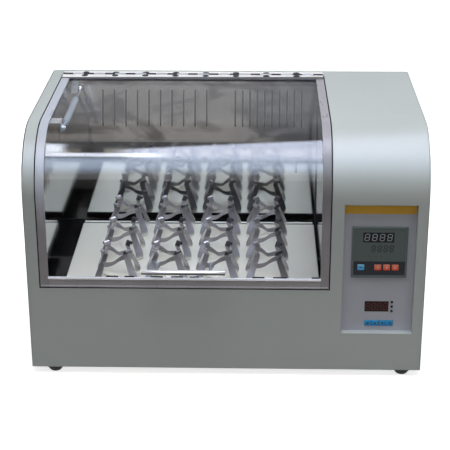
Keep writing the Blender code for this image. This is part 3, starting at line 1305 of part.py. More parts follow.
BOARD_BELOW_KEYS = 0.0042
BOARD_ABOVE_WINDOW = 0.0115
BOARD_LEFT = RECESS_CENTRE_X - BOARD_HALF_WIDTH
BOARD_RIGHT = RECESS_CENTRE_X + BOARD_HALF_WIDTH
BOARD_LOW = SPEED_KEY_Z - SPEED_KEY_HEIGHT / 2 - BOARD_BELOW_KEYS
BOARD_HIGH = SPEED_WINDOW_Z + SPEED_WINDOW_HEIGHT / 2 + BOARD_ABOVE_WINDOW
BOARD_POST_RADIUS = 0.0025
BOARD_POST_INSET = 0.004

FASCIA_FRONT = RECESS_DEPTH
KEY_CLEARANCE = 0.0004


def key_centres():
    """Name, x, z, width, height, front face and colour of all eight keys."""
    band_z = (CONTROLLER_Z - CONTROLLER_SIZE / 2 + KEY_BAND_RIM + KEY_PLATE_HEIGHT / 2
              + KEY_ROW_RISE)
    face = FASCIA_FRONT - CONTROLLER_PROUD + KEY_BAND_STEP
    rows = []
    for name, offset in CONTROLLER_KEY_OFFSETS.items():
        colour = "blue_key" if name == "set" else "red_key"
        rows.append((f"controller_key_{name}", CONTROLLER_X + offset, band_z,
                     CONTROLLER_KEY_WIDTH, CONTROLLER_KEY_HEIGHT, face, colour))
    for i in range(4):
        x = SPEED_KEY_X + (i - 3 / 2) * SPEED_KEY_PITCH
        rows.append((f"speed_key_{i + 1}", x, SPEED_KEY_Z, SPEED_KEY_WIDTH, SPEED_KEY_HEIGHT,
                     FASCIA_FRONT, "blue_key"))
    return rows


def make_fascia():
    edge = SEAT_GAP
    panel = box(RECESS_LEFT + edge, RECESS_RIGHT - edge, FASCIA_FRONT,
                FASCIA_FRONT + FASCIA_THICKNESS, RECESS_BOTTOM + edge, RECESS_TOP - edge)
    front = FASCIA_FRONT - CUT_OVERRUN
    back = FASCIA_FRONT + FASCIA_THICKNESS + CUT_OVERRUN
    half = CONTROLLER_BODY / 2 + SEAT_GAP
    holes = [(CONTROLLER_X - half, CONTROLLER_X + half, front, back,
              CONTROLLER_Z - half, CONTROLLER_Z + half)]
    reach_x = SPEED_WINDOW_WIDTH / 2 + SEAT_GAP
    reach_z = SPEED_WINDOW_HEIGHT / 2 + SEAT_GAP
    holes.append((SPEED_WINDOW_X - reach_x, SPEED_WINDOW_X + reach_x, front, back,
                  SPEED_WINDOW_Z - reach_z, SPEED_WINDOW_Z + reach_z))
    for name, x, z, width, height, _, _ in key_centres():
        if name.startswith("speed"):
            reach = width / 2 + KEY_CLEARANCE
            rise = height / 2 + KEY_CLEARANCE
            holes.append((x - reach, x + reach, front, back, z - rise, z + rise))
    lamps = rods([(LAMP_X, front, lamp_z) for lamp_z in lamp_heights()], "Y",
                 LAMP_RADIUS + SEAT_GAP, back - front, SHAFT_STEPS)
    cut(panel, boxes(holes), lamps)
    finish_piece(panel, "control_fascia", "lilac_panel")


def lamp_heights():
    return [LAMP_Z + step * LAMP_PITCH for step in (-1, 0, 1)]


def make_controller():
    """A square panel instrument: bezel, body behind the panel, display pocket and key band."""
    half = CONTROLLER_SIZE / 2
    front = FASCIA_FRONT - CONTROLLER_PROUD
    chamfer = CONTROLLER_CHAMFER
    bezel_back = FASCIA_FRONT - SEAT_GAP
    left, right = CONTROLLER_X - half, CONTROLLER_X + half
    low, high = CONTROLLER_Z - half, CONTROLLER_Z + half
    case = box(left, right, front, bezel_back, low, high)
    edge = case.modifiers.new("chamfer", "BEVEL")
    edge.width = chamfer
    edge.segments = 2
    edge.limit_method = "ANGLE"
    settle(case)
    reach = CONTROLLER_BODY / 2
    body = box(CONTROLLER_X - reach, CONTROLLER_X + reach, front + chamfer * 3 / 2,
               FASCIA_FRONT + CONTROLLER_BODY_DEPTH, CONTROLLER_Z - reach, CONTROLLER_Z + reach)
    inner_left, inner_right = left + CONTROLLER_RIM, right - CONTROLLER_RIM
    band_low = low + KEY_BAND_RIM
    pocket = (inner_left, inner_right, front - CUT_OVERRUN, front + DISPLAY_THICKNESS + SEAT_GAP,
              high - CONTROLLER_RIM - DISPLAY_HEIGHT - SEAT_GAP, high - CONTROLLER_RIM)
    band = (inner_left, inner_right, front - CUT_OVERRUN, front + KEY_BAND_STEP,
            band_low, band_low + KEY_PLATE_HEIGHT)
    pockets = []
    for name, x, z, width, height, face, _ in key_centres():
        if name.startswith("controller"):
            pockets.append((x - width / 2 - KEY_CLEARANCE, x + width / 2 + KEY_CLEARANCE,
                            face - CUT_OVERRUN, face - KEY_PROUD + KEY_LENGTH + KEY_POCKET_SLACK,
                            z - height / 2 - KEY_CLEARANCE, z + height / 2 + KEY_CLEARANCE))
    weld(case, body)
    cut(case, boxes([pocket]), boxes([band]), boxes(pockets))
    finish_piece(case, "controller_case", "bezel_plastic")
    window = box(inner_left + SEAT_GAP, inner_right - SEAT_GAP, front, front + DISPLAY_THICKNESS,
                 high - CONTROLLER_RIM - DISPLAY_HEIGHT, high - CONTROLLER_RIM - SEAT_GAP)
    finish_piece(window, "controller_window", "smoked_window")


def make_keys():
    for name, x, z, width, height, face, colour in key_centres():
        start = face - KEY_PROUD
        length = KEY_LENGTH
        if name.startswith("speed"):
            length = board_face() - SEAT_GAP - start - KEY_POCKET_SLACK
        axis = make_axis(name + "_axis", (x, start, z))
        key = box(x - width / 2, x + width / 2, start, start + length,
                  z - height / 2, z + height / 2)
        edge = key.modifiers.new("edge", "BEVEL")
        edge.width = KEY_CLEARANCE
        edge.segments = 1
        settle(key)
        finish_piece(key, name, colour, axis)


def board_face():
    return FASCIA_FRONT + FASCIA_THICKNESS + BOARD_GAP


def make_speed_unit():
    """The speed display's window, and its board with three lamps standing through the panel."""
    window = box(SPEED_WINDOW_X - SPEED_WINDOW_WIDTH / 2, SPEED_WINDOW_X + SPEED_WINDOW_WIDTH / 2,
                 FASCIA_FRONT, FASCIA_FRONT + SPEED_WINDOW_THICKNESS,
                 SPEED_WINDOW_Z - SPEED_WINDOW_HEIGHT / 2, SPEED_WINDOW_Z + SPEED_WINDOW_HEIGHT / 2)
    finish_piece(window, "speed_window", "red_window")
    face = board_face()
    board = box(BOARD_LEFT, BOARD_RIGHT, face, face + BOARD_THICKNESS, BOARD_LOW, BOARD_HIGH)
    lamp_front = FASCIA_FRONT - LAMP_RADIUS / 2
    lamps = rods([(LAMP_X, lamp_front, z) for z in lamp_heights()], "Y", LAMP_RADIUS,
                 face + BOARD_THICKNESS / 2 - lamp_front, SHAFT_STEPS)
    display_front = FASCIA_FRONT + SPEED_WINDOW_THICKNESS + SEAT_GAP
    display = box(SPEED_WINDOW_X - SPEED_WINDOW_WIDTH / 2 + BOARD_THICKNESS,
                  SPEED_WINDOW_X + SPEED_WINDOW_WIDTH / 2 - BOARD_THICKNESS,
                  display_front, face + BOARD_THICKNESS / 2,
                  SPEED_WINDOW_Z - SPEED_WINDOW_HEIGHT / 2 + BOARD_THICKNESS,
                  SPEED_WINDOW_Z + SPEED_WINDOW_HEIGHT / 2 - BOARD_THICKNESS)
    post_front = FASCIA_FRONT + FASCIA_THICKNESS + SEAT_GAP
    posts = rods([(x, post_front, z)
                  for x in (BOARD_LEFT + BOARD_POST_INSET, BOARD_RIGHT - BOARD_POST_INSET)
                  for z in (BOARD_LOW + BOARD_POST_INSET, BOARD_HIGH - BOARD_POST_INSET)],
                 "Y", BOARD_POST_RADIUS, face + BOARD_THICKNESS / 2 - post_front, SHAFT_STEPS)
    weld(board, lamps, display, posts)
    finish_piece(board, "speed_board", "circuit_board")


# Mains inlet with its rocker switch

SOCKET_WIDTH = 0.0240
SOCKET_HEIGHT = 0.0165
SOCKET_DEPTH = 0.0160
SOCKET_DROP = 0.0140
SOCKET_BLADE = 0.0022
SOCKET_BLADE_LENGTH = 0.0080
SOCKET_BLADE_PITCH = 0.0065
ROCKER_RISE = 0.0140
ROCKER_WIDTH = 0.0120
ROCKER_HALF = 0.0095
ROCKER_PIVOT_DEPTH = 0.0065
ROCKER_FACE = 0.0020
ROCKER_HORN = 0.0018
ROCKER_ROOT = 0.0030
ROCKER_TILT = math.radians(10)
ROCKER_CLEARANCE = 0.0008
ROCKER_POCKET_DEPTH = 0.0130


def make_power_inlet():
    outer = CABINET_DEPTH + SEAT_GAP
    rear = outer + INLET_FLANGE_THICKNESS
    flange = box(INLET_X - INLET_WIDTH / 2, INLET_X + INLET_WIDTH / 2, outer, rear,
                 INLET_Z - INLET_HEIGHT / 2, INLET_Z + INLET_HEIGHT / 2)
    body = box(INLET_X - INLET_BODY_WIDTH / 2, INLET_X + INLET_BODY_WIDTH / 2,
               rear - INLET_BODY_DEPTH, outer + SEAT_GAP,
               INLET_Z - INLET_BODY_HEIGHT / 2, INLET_Z + INLET_BODY_HEIGHT / 2)
    socket_z = INLET_Z - SOCKET_DROP
    socket = (INLET_X - SOCKET_WIDTH / 2, INLET_X + SOCKET_WIDTH / 2,
              rear - SOCKET_DEPTH, rear + CUT_OVERRUN,
              socket_z - SOCKET_HEIGHT / 2, socket_z + SOCKET_HEIGHT / 2)
    rocker_z = INLET_Z + ROCKER_RISE
    reach = math.hypot(ROCKER_HALF, ROCKER_ROOT) + ROCKER_CLEARANCE
    pocket = (INLET_X - ROCKER_WIDTH / 2 - ROCKER_CLEARANCE,
              INLET_X + ROCKER_WIDTH / 2 + ROCKER_CLEARANCE,
              rear - ROCKER_POCKET_DEPTH, rear + CUT_OVERRUN, rocker_z - reach, rocker_z + reach)
    blades = []
    for step, lift in ((-1, 0), (0, 1), (1, 0)):
        x = INLET_X + step * SOCKET_BLADE_PITCH
        z = socket_z + lift * SOCKET_BLADE
        blades.append(box(x - SOCKET_BLADE / 2, x + SOCKET_BLADE / 2,
                          rear - SOCKET_DEPTH - CUT_OVERRUN, rear - SOCKET_DEPTH + SOCKET_BLADE_LENGTH,
                          z - SOCKET_BLADE, z + SOCKET_BLADE))
    weld(flange, body)
    cut(flange, boxes([socket, pocket]))
    weld(flange, *blades)
    finish_piece(flange, "power_inlet", "black_plastic")


def make_power_rocker():
    """A rocker with a shallow V face, at rest with its upper end out."""
    rear = CABINET_DEPTH + SEAT_GAP + INLET_FLANGE_THICKNESS
    pivot = Vector((INLET_X, rear - ROCKER_PIVOT_DEPTH, INLET_Z + ROCKER_RISE))
    axis = make_axis("power_rocker_axis", pivot)
    outline = [(-ROCKER_ROOT, -ROCKER_HALF), (-ROCKER_ROOT, ROCKER_HALF),
               (ROCKER_FACE + ROCKER_HORN, ROCKER_HALF), (ROCKER_FACE, 0),
               (ROCKER_FACE + ROCKER_HORN, -ROCKER_HALF)]
    rocker = outline_slab(outline, "X", -ROCKER_WIDTH / 2, ROCKER_WIDTH / 2)
    tilt = Matrix.Rotation(-ROCKER_TILT, 4, "X")
    rocker.data.transform(Matrix.Translation(pivot) @ tilt)
    finish_piece(rocker, "power_rocker", "red_key", axis)


def build():
    make_cabinet_wrap()
    make_side_panel("left_side_panel", -HALF_WIDTH)
    make_side_panel("right_side_panel", HALF_WIDTH - SHEET)
    make_rear_panel()
    make_base_pan()
    for side, x in (("left", FOOT_LEFT_INSET - HALF_WIDTH), ("right", HALF_WIDTH - FOOT_RIGHT_INSET)):
        make_foot("foot_front_" + side, x, FOOT_FRONT_Y)
        make_foot("foot_rear_" + side, x, CABINET_DEPTH - FOOT_BACK_INSET)
    make_chamber_liner()
    make_lid_seal()
    make_temperature_probe()
    make_fan()
    make_heater()
    make_drive_deck()
    crank_axis = make_cranks()
    make_motor()
    make_drive_belt()
    drive_x, drive_y = crank_places()[0]
    tray_axis = make_axis("tray_axis", (drive_x + ORBIT_RADIUS, drive_y, TRAY_TOP), crank_axis)
    make_tray_carrier(tray_axis)
    make_shaking_tray(tray_axis)
    make_clamps(tray_axis)
    lid_axis = make_axis("lid_axis", (LID_CENTRE_X, HINGE_Y, HINGE_Z))
    make_cabinet_leaf()
    make_lid_leaf(lid_axis)
    make_lid_frame(lid_axis)
    make_lid_window(lid_axis)
    make_lid_handle(lid_axis)
    make_strut(lid_axis)
    make_strut_lid_bracket(lid_axis)
    make_strut_cabinet_bracket()
    make_fascia()
    make_controller()
    make_keys()
    make_speed_unit()
    make_power_inlet()
    make_power_rocker()


build()
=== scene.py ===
import math

import bmesh
import bpy
from mathutils import Matrix, Vector


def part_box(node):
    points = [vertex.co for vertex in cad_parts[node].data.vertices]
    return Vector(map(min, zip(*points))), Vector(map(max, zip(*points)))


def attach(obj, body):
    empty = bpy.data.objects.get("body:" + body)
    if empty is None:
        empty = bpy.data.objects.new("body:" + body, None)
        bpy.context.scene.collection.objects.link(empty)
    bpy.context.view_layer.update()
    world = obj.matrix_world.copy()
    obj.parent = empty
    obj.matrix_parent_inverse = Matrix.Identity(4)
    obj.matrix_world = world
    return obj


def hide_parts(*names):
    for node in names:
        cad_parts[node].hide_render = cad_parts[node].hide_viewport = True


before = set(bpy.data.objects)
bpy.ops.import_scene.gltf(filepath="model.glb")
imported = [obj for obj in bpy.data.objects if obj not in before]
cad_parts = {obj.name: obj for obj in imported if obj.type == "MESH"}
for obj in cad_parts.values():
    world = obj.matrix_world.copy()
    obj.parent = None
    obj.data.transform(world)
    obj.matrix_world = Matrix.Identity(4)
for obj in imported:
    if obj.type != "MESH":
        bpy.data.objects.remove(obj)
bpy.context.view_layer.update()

scene = bpy.context.scene
scene.view_settings.view_transform = "Standard"


# Camera
# The view of the photograph: from in front, a little right of the middle and well above the
# lid, with a long lens. The place is in the housing's own sizes, as everything below is.

housing_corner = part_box("cabinet_wrap")[0]
housing_place = Vector((0.0, housing_corner.y, housing_corner.z))

camera_place = Vector((0.053, -2.130, 1.155)) + housing_place
camera_down, camera_left, camera_roll = (math.radians(a) for a in (22.33, 1.44, 0.11))
lens_in_pixels, photo_pixels = 1335.0, 450.0

ahead = Vector((-math.sin(camera_left) * math.cos(camera_down),
                math.cos(camera_left) * math.cos(camera_down), -math.sin(camera_down)))
across = Vector((math.cos(camera_left), math.sin(camera_left), 0.0))
up = across.cross(ahead)
roll = -camera_roll
image_right = across * math.cos(roll) + up * math.sin(roll)
image_up = up * math.cos(roll) - across * math.sin(roll)

camera_data = bpy.data.cameras.new("camera")
camera_data.sensor_width = 36.0
camera_data.lens = camera_data.sensor_width * lens_in_pixels / photo_pixels
camera = bpy.data.objects.new("camera", camera_data)
camera.matrix_world = Matrix((*zip(image_right, image_up, -ahead, camera_place), (0, 0, 0, 1)))
scene.collection.objects.link(camera)
scene.camera = camera


# Light and floor
# A studio with pale walls and a white floor. A wide panel above and two smaller ones, behind
# and at the right, light the housing. Six soft panels in front show in reflections alone, and
# draw the pale band and the gleams in the lid's curved window.


def axes_of(tree, reading, kind="ShaderNodeTexCoord"):
    """X, Y and Z of a place, or of the way that a surface faces, as three outputs."""
    read = tree.nodes.new(kind)
    axes = tree.nodes.new("ShaderNodeSeparateXYZ")
    tree.links.new(read.outputs[reading], axes.inputs[0])
    return axes.outputs


def blend_tones(first, second, factor):
    """Mix two tones or outputs by a factor that another node gives."""
    tree = factor.id_data
    mix = tree.nodes.new("ShaderNodeMix")
    mix.data_type = "RGBA"
    for socket, tone in (("A", first), ("B", second)):
        if isinstance(tone, tuple):
            mix.inputs[socket].default_value = (*tone, 1.0)
        else:
            tree.links.new(tone, mix.inputs[socket])
    tree.links.new(factor, mix.inputs["Factor"])
    return mix.outputs["Result"]


def ease(source, start, end):
    """Nought to one between two values of a node's output."""
    ramp = source.id_data.nodes.new("ShaderNodeMapRange")
    ramp.interpolation_type = "SMOOTHSTEP"
    ramp.inputs["From Min"].default_value = start
    ramp.inputs["From Max"].default_value = end
    source.id_data.links.new(source, ramp.inputs["Value"])
    return ramp.outputs["Result"]


def work_out(operation, first, second=None):
    """One step of arithmetic on node outputs or numbers."""
    tree = (second if isinstance(first, float) else first).id_data
    step = tree.nodes.new("ShaderNodeMath")
    step.operation = operation
    for socket, value in zip(step.inputs, (first, second)):
        if isinstance(value, float):
            socket.default_value = value
        elif value is not None:
            tree.links.new(value, socket)
    return step.outputs[0]


world = bpy.data.worlds.new("studio_walls")
scene.world = world
world.use_nodes = True
wall_grey, wall_white, back_wall = (0.26, 0.255, 0.25), (0.95, 0.97, 1.0), (0.34, 0.35, 0.37)
soft_wall, page_white = (0.29, 0.28, 0.255), (1.0, 1.0, 1.0)
way = axes_of(world.node_tree, "Generated")
seen = world.node_tree.nodes.new("ShaderNodeLightPath").outputs
wall_tone = blend_tones(wall_grey, wall_white, ease(way["Z"], 0.24, 0.34))
wall_tone = blend_tones(wall_tone, wall_grey, ease(way["Z"], 0.46, 0.60))
wall_tone = blend_tones(wall_tone, back_wall, ease(way["Y"], -0.35, 0.10))
wall_tone = blend_tones(wall_tone, soft_wall, seen["Is Diffuse Ray"])
world.node_tree.links.new(blend_tones(wall_tone, page_white, seen["Is Camera Ray"]),
                          world.node_tree.nodes["Background"].inputs["Color"])


def hang_lamp(name, middle, aim, width, depth, watts, colour=(1, 1, 1)):
    """A rectangular panel lamp at a place in the room, turned towards a point."""
    data = bpy.data.lights.new(name, "AREA")
    data.shape = "RECTANGLE"
    data.size, data.size_y = width, depth
    data.energy = watts
    data.color = colour
    lamp = bpy.data.objects.new(name, data)
    lamp.location = middle
    lamp.rotation_euler = (Vector(aim) - Vector(middle)).to_track_quat("-Z", "Y").to_euler()
    scene.collection.objects.link(lamp)
    return lamp


overhead = hang_lamp("overhead_panel", (0.1, -0.45, 2.2), (0, -0.05, 0.2), 1.6, 1.2, 28.7,
                     (0.985, 1.0, 1.035))
overhead.visible_transmission = False
rear_fill = hang_lamp("rear_fill_panel", (0.3, 3.2, 1.5), (0, 0, 0.2), 2.0, 1.5, 26)

mirror_distance = 3.0
lid_middle_y, lid_middle_z = -0.15, 0.42


def hang_mirror_lamp(name, rise, spread, left, right, radiance, colour, soft, top=(1.0, 0.0)):
    """A panel in front of the lid that only shows in reflections. Its rise and spread are in
    degrees. Its sides, foot and top fade over the three shares in soft, and its top edge
    starts at a share of the height and climbs by another share to the right."""
    angle = math.radians(rise)
    middle = Vector(((left + right) / 2, lid_middle_y - mirror_distance * math.cos(angle),
                     lid_middle_z + mirror_distance * math.sin(angle)))
    tall = 2 * mirror_distance * math.tan(math.radians(spread / 2))
    width = right - left
    lamp = hang_lamp(name, middle, (middle.x, lid_middle_y, lid_middle_z), width, tall,
                     math.pi * width * tall * radiance, colour)
    lamp.visible_diffuse = False
    lamp.data.use_nodes = True
    tree = lamp.data.node_tree
    panel = axes_of(tree, "Parametric", "ShaderNodeNewGeometry")
    top_edge = work_out("ADD", work_out("MULTIPLY", panel["X"], top[1]), top[0])
    rim = ease(panel["X"], 0, soft[0])
    for inward, share in ((work_out("SUBTRACT", 1.0, panel["X"]), soft[0]), (panel["Y"], soft[1]),
                          (work_out("SUBTRACT", top_edge, panel["Y"]), soft[2])):
        rim = work_out("MULTIPLY", rim, ease(inward, 0, share))
    tree.links.new(rim, tree.nodes["Emission"].inputs["Strength"])


for panel_row in (("front_low_panel", 43, 40, -1.5, 1.25, 4.3, (0.74, 0.91, 1.18),
                   (0.06, 0.52, 0.26)),
                  ("front_right_panel", 84, 64, -0.55, 1.18, 6.4, (0.86, 0.945, 1.20),
                   (0.08, 0.20, 0.04), (0.38, 0.70)),
                  ("far_right_panel", 108, 32, 1.10, 2.80, 9.5, (0.90, 0.955, 1.10),
                   (0.10, 0.30, 0.20)),
                  ("front_left_strip", 64, 10, -1.14, -0.28, 9.0, (0.90, 0.955, 1.10),
                   (0.12, 0.30, 0.25)),
                  ("front_left_gleam", 78, 26, -0.90, -0.69, 9.5, (0.90, 0.955, 1.10),
                   (0.25, 0.30, 0.30)),
                  ("front_left_patch", 77, 24, -1.90, -1.05, 4.5, (0.88, 0.95, 1.15),
                   (0.30, 0.30, 0.30))):
    hang_mirror_lamp(*panel_row)
right_fill = hang_lamp("front_right_fill", (1.35, -1.35, 0.75), (0.35, -0.20, 0.25), 0.6, 0.6,
                       1.3)
for lamp in (overhead, rear_fill, right_fill):
    lamp.visible_glossy = False

floor_half = 30.0
floor_mesh = bpy.data.meshes.new("floor")
floor_mesh.from_pydata([(x * floor_half, y * floor_half, 0)
                        for x, y in ((-1, -1), (1, -1), (1, 1), (-1, 1))], [], [(0, 1, 2, 3)])
floor = bpy.data.objects.new("floor", floor_mesh)
scene.collection.objects.link(floor)
floor_paint = bpy.data.materials.new("white_floor")
floor_paint.use_nodes = True
tree = floor_paint.node_tree
tree.nodes.clear()
result, lit, glow, both, path = (tree.nodes.new("ShaderNode" + kind) for kind in (
    "OutputMaterial", "BsdfDiffuse", "Emission", "AddShader", "LightPath"))
floor_dark, floor_bounce = (0.10, 0.10, 0.11), (0.175, 0.165, 0.145)
no_glow, mirror_glow, page_glow, floor_white = ((grey,) * 3 for grey in (0.0, 0.22, 0.74, 0.80))
white_part = ease(axes_of(tree, "Object")["Y"], -0.62, -0.50)
for socket, dark, white, bounced, shown in (
        (lit.inputs["Color"], floor_dark, floor_white, floor_bounce, floor_white),
        (glow.inputs["Color"], no_glow, mirror_glow, no_glow, page_glow)):
    tone = blend_tones(blend_tones(dark, white, white_part), bounced,
                       path.outputs["Is Diffuse Ray"])
    tree.links.new(blend_tones(tone, shown, path.outputs["Is Camera Ray"]), socket)
tree.links.new(lit.outputs[0], both.inputs[0])
tree.links.new(glow.outputs[0], both.inputs[1])
tree.links.new(both.outputs[0], result.inputs["Surface"])
floor_mesh.materials.append(floor_paint)


# Housing sheet
# One steel sheet runs up the front, round the shoulder and back over the top, with the lid
# opening cut in it and the control recess pressed in. It is powder coated a cool grey.

housing_width, housing_depth, housing_height = 0.700, 0.425, 0.435
shoulder_radius = 0.111
shoulder_low = housing_height - shoulder_radius
steel_sheet = 0.0015
opening_left, opening_right, opening_low, opening_back = -0.3285, 0.1835, 0.157, 0.3955
recess_left, recess_right, recess_low, recess_high = 0.205, 0.331, 0.0735, 0.318
recess_depth = 0.0130
seat_gap = 0.0003
shoulder_steps = 48


def material_named(name, colour, roughness, metallic=0.0, specular=0.5):
    """A plain starting point: colour, roughness, whether it is metal, and its gloss."""
    finish = bpy.data.materials.new(name)
    finish.use_nodes = True
    for socket, value in (("Base Color", (*colour, 1.0)), ("Roughness", roughness),
                          ("Metallic", metallic), ("Specular IOR Level", specular)):
        finish.node_tree.nodes["Principled BSDF"].inputs[socket].default_value = value
    return finish


def feed(finish, socket, output):
    """Lead a node's output into one socket of the finish."""
    finish.node_tree.links.new(output, finish.node_tree.nodes["Principled BSDF"].inputs[socket])


def spots_of(finish):
    """X, Y and Z of each spot of the finish, in metres from its object's origin."""
    return axes_of(finish.node_tree, "Object")


def facing_of(finish):
    """X, Y and Z of the way that each spot of the finish faces."""
    return axes_of(finish.node_tree, "Normal", "ShaderNodeNewGeometry")


def colour_of(finish):
    """The output that the finish takes its colour from so far."""
    return finish.node_tree.nodes["Principled BSDF"].inputs["Base Color"].links[0].from_socket


def grain(finish, scale, stretch=(1, 1, 1), detail=4.0, warp=0.0):
    """A noise over the piece, in metres, that colour, roughness and bump can read."""
    nodes, links = finish.node_tree.nodes, finish.node_tree.links
    where = nodes.new("ShaderNodeTexCoord")
    turn = nodes.new("ShaderNodeMapping")
    turn.inputs["Scale"].default_value = stretch
    noise = nodes.new("ShaderNodeTexNoise")
    noise.inputs["Scale"].default_value = scale
    noise.inputs["Detail"].default_value = detail
    noise.inputs["Distortion"].default_value = warp
    links.new(where.outputs["Object"], turn.inputs["Vector"])
    links.new(turn.outputs["Vector"], noise.inputs["Vector"])
    return noise.outputs["Fac"]


noise_low, noise_high = 0.3, 0.7


def vary_colour(finish, scale, low, high, stretch=(1, 1, 1), detail=4.0):
    """Let the colour wander between two tones."""
    ramp = finish.node_tree.nodes.new("ShaderNodeValToRGB")
    for stop, position, tone in zip(ramp.color_ramp.elements, (noise_low, noise_high),
                                    (low, high)):
        stop.position = position
        stop.color = (*tone, 1.0)
    finish.node_tree.links.new(grain(finish, scale, stretch, detail), ramp.inputs["Fac"])
    feed(finish, "Base Color", ramp.outputs["Color"])


def vary_roughness(finish, scale, low, high, stretch=(1, 1, 1), detail=4.0):
    """Let the roughness wander between two values, as handling and the making leave it."""
    spread = finish.node_tree.nodes.new("ShaderNodeMapRange")
    for socket, value in (("From Min", noise_low), ("From Max", noise_high), ("To Min", low),
                          ("To Max", high)):
        spread.inputs[socket].default_value = value
    finish.node_tree.links.new(grain(finish, scale, stretch, detail), spread.inputs["Value"])
    feed(finish, "Roughness", spread.outputs["Result"])


def raise_surface(finish, scale, strength, distance=0.001, stretch=(1, 1, 1), detail=4.0):
    """Give the surface a fine relief."""
    bump = finish.node_tree.nodes.new("ShaderNodeBump")
    bump.inputs["Strength"].default_value = strength
    bump.inputs["Distance"].default_value = distance
    finish.node_tree.links.new(grain(finish, scale, stretch, detail), bump.inputs["Height"])
    feed(finish, "Normal", bump.outputs["Normal"])


def powder_coat(name, light, dark):
    """Powder coat flows out to a faint orange peel and a soft, slightly uneven gloss."""
    finish = material_named(name, light, 0.36)
    vary_colour(finish, 5.0, dark, light)
    vary_roughness(finish, 40.0, 0.32, 0.40)
    raise_surface(finish, 650.0, 0.05, detail=2.0)
    return finish


def mesh_of(name, shape, finish, crease):
    """A smooth mesh in one finish, with an edge wherever it bends more than the crease."""
    mesh = bpy.data.meshes.new(name)
    shape.to_mesh(mesh)
    shape.free()
    mesh.materials.append(finish)
    mesh.shade_smooth()
    mesh.set_sharp_from_angle(angle=math.radians(crease))
    return mesh


def make_piece(name, shape, finish, crease=35):
    """Turn a shape drawn in the housing's sizes into an object in its place."""
    shape.transform(Matrix.Translation(housing_place))
    piece = bpy.data.objects.new(name, mesh_of(name, shape, finish, crease))
    scene.collection.objects.link(piece)
    return piece


def thicken(piece, thickness):
    """Give a bent surface the thickness of its sheet, inwards."""
    sheet = piece.modifiers.new("sheet", "SOLIDIFY")
    sheet.thickness = thickness
    sheet.offset = -1
    sheet.use_even_offset = True


def round_edges(piece, width, segments=2, angle=35):
    """Break the sharp edges, as deburring does."""
    edge = piece.modifiers.new("edges", "BEVEL")
    edge.width = width
    edge.segments = segments
    edge.limit_method = "ANGLE"
    edge.angle_limit = math.radians(angle)
    edge.harden_normals = True


def shoulder_line(inset, low, back):
    """Points (y, z) up the front, round the shoulder and back over the top."""
    line = [(inset, low)]
    radius = shoulder_radius - inset
    for step in range(shoulder_steps + 1):
        angle = math.pi / 2 * step / shoulder_steps
        line.append((shoulder_radius - radius * math.cos(angle),
                     shoulder_low + radius * math.sin(angle)))
    return line + [(back, housing_height - inset)]


def sheet_with_openings(columns, line, closed_at):
    """A bent sheet: a grid over x columns and (y, z) points, without the cells that are open."""
    shape = bmesh.new()
    grid = [[shape.verts.new((x, y, z)) for y, z in line] for x in columns]
    for i in range(len(columns) - 1):
        for j in range(len(line) - 1):
            if closed_at(i, j):
                shape.faces.new((grid[i][j], grid[i + 1][j], grid[i + 1][j + 1], grid[i][j + 1]))
    return shape, grid


coat_light, coat_dark = (0.525, 0.572, 0.580), (0.500, 0.548, 0.556)
coat = powder_coat("grey_powder_coat", coat_light, coat_dark)
wrap_half = housing_width / 2 - steel_sheet - seat_gap
wrap_columns = [-wrap_half, opening_left, opening_right, recess_left, recess_right, wrap_half]
curve = shoulder_line(0, shoulder_low, opening_back)[1:]
wrap_line = ([(0, 0), (0, recess_low), (0, opening_low), (0, recess_high)] + curve
             + [(housing_depth - steel_sheet - seat_gap, housing_height)])
last_opening_row = len(wrap_line) - 3
wrap, grid = sheet_with_openings(
    wrap_columns, wrap_line,
    lambda i, j: not (i == 1 and 2 <= j <= last_opening_row) and not (i == 3 and 1 <= j <= 2))
# The recess: four narrow walls behind its opening
sleeve_back = recess_depth + steel_sheet + seat_gap
sleeve = [[wrap.verts.new((x, sleeve_back, z)) for z in (recess_low, opening_low, recess_high)]
          for x in (recess_left, recess_right)]
for j in (0, 1):
    wrap.faces.new((grid[3][1 + j], sleeve[0][j], sleeve[0][j + 1], grid[3][2 + j]))
    wrap.faces.new((grid[4][2 + j], sleeve[1][j + 1], sleeve[1][j], grid[4][1 + j]))
wrap.faces.new((grid[3][1], grid[4][1], sleeve[1][0], sleeve[0][0]))
wrap.faces.new((sleeve[0][2], sleeve[1][2], grid[4][3], grid[3][3]))
bmesh.ops.delete(wrap, geom=[v for v in wrap.verts if not v.link_faces], context="VERTS")
wrap_piece = make_piece("housing_wrap", wrap, coat)
thicken(wrap_piece, steel_sheet)
round_edges(wrap_piece, 0.0006)
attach(wrap_piece, "housing")
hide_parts("cabinet_wrap")


# End plates
# A flat steel plate closes each end. Its edge follows the shoulder a hair inside the sheet,
# which leaves the fine dark seam, and it has the same grey powder coat. On the left plate the
# rim that faces up is also painted near black, a painted shade in that seam.

end_setback = 0.0008


def skin(rings, ends_closed=True):
    """A shape whose skin joins each ring of points to the next. One point makes a tip."""
    shape = bmesh.new()
    rows = [[shape.verts.new(point) for point in ring] for ring in rings]
    for low, high in zip(rows, rows[1:]):
        count = max(len(low), len(high))
        for k in range(count if count > 1 else 0):
            j = (k + 1) % count
            corners = [low[k % len(low)], low[j % len(low)], high[j % len(high)],
                       high[k % len(high)]]
            shape.faces.new([v for i, v in enumerate(corners) if v not in corners[:i]])
    for row in (rows[0], rows[-1]):
        if ends_closed and len(row) > 1:
            shape.faces.new(row)
    bmesh.ops.recalc_face_normals(shape, faces=shape.faces)
    return shape


def flat_plate(points, axis_low, axis_high, axis="X"):
    """A flat plate from its outline, between two places along an axis."""
    place = {"X": lambda a, u, v: (a, u, v), "Y": lambda a, u, v: (u, a, v),
             "Z": lambda a, u, v: (u, v, a)}[axis]
    return skin([[place(a, u, v) for u, v in points] for a in (axis_low, axis_high)])


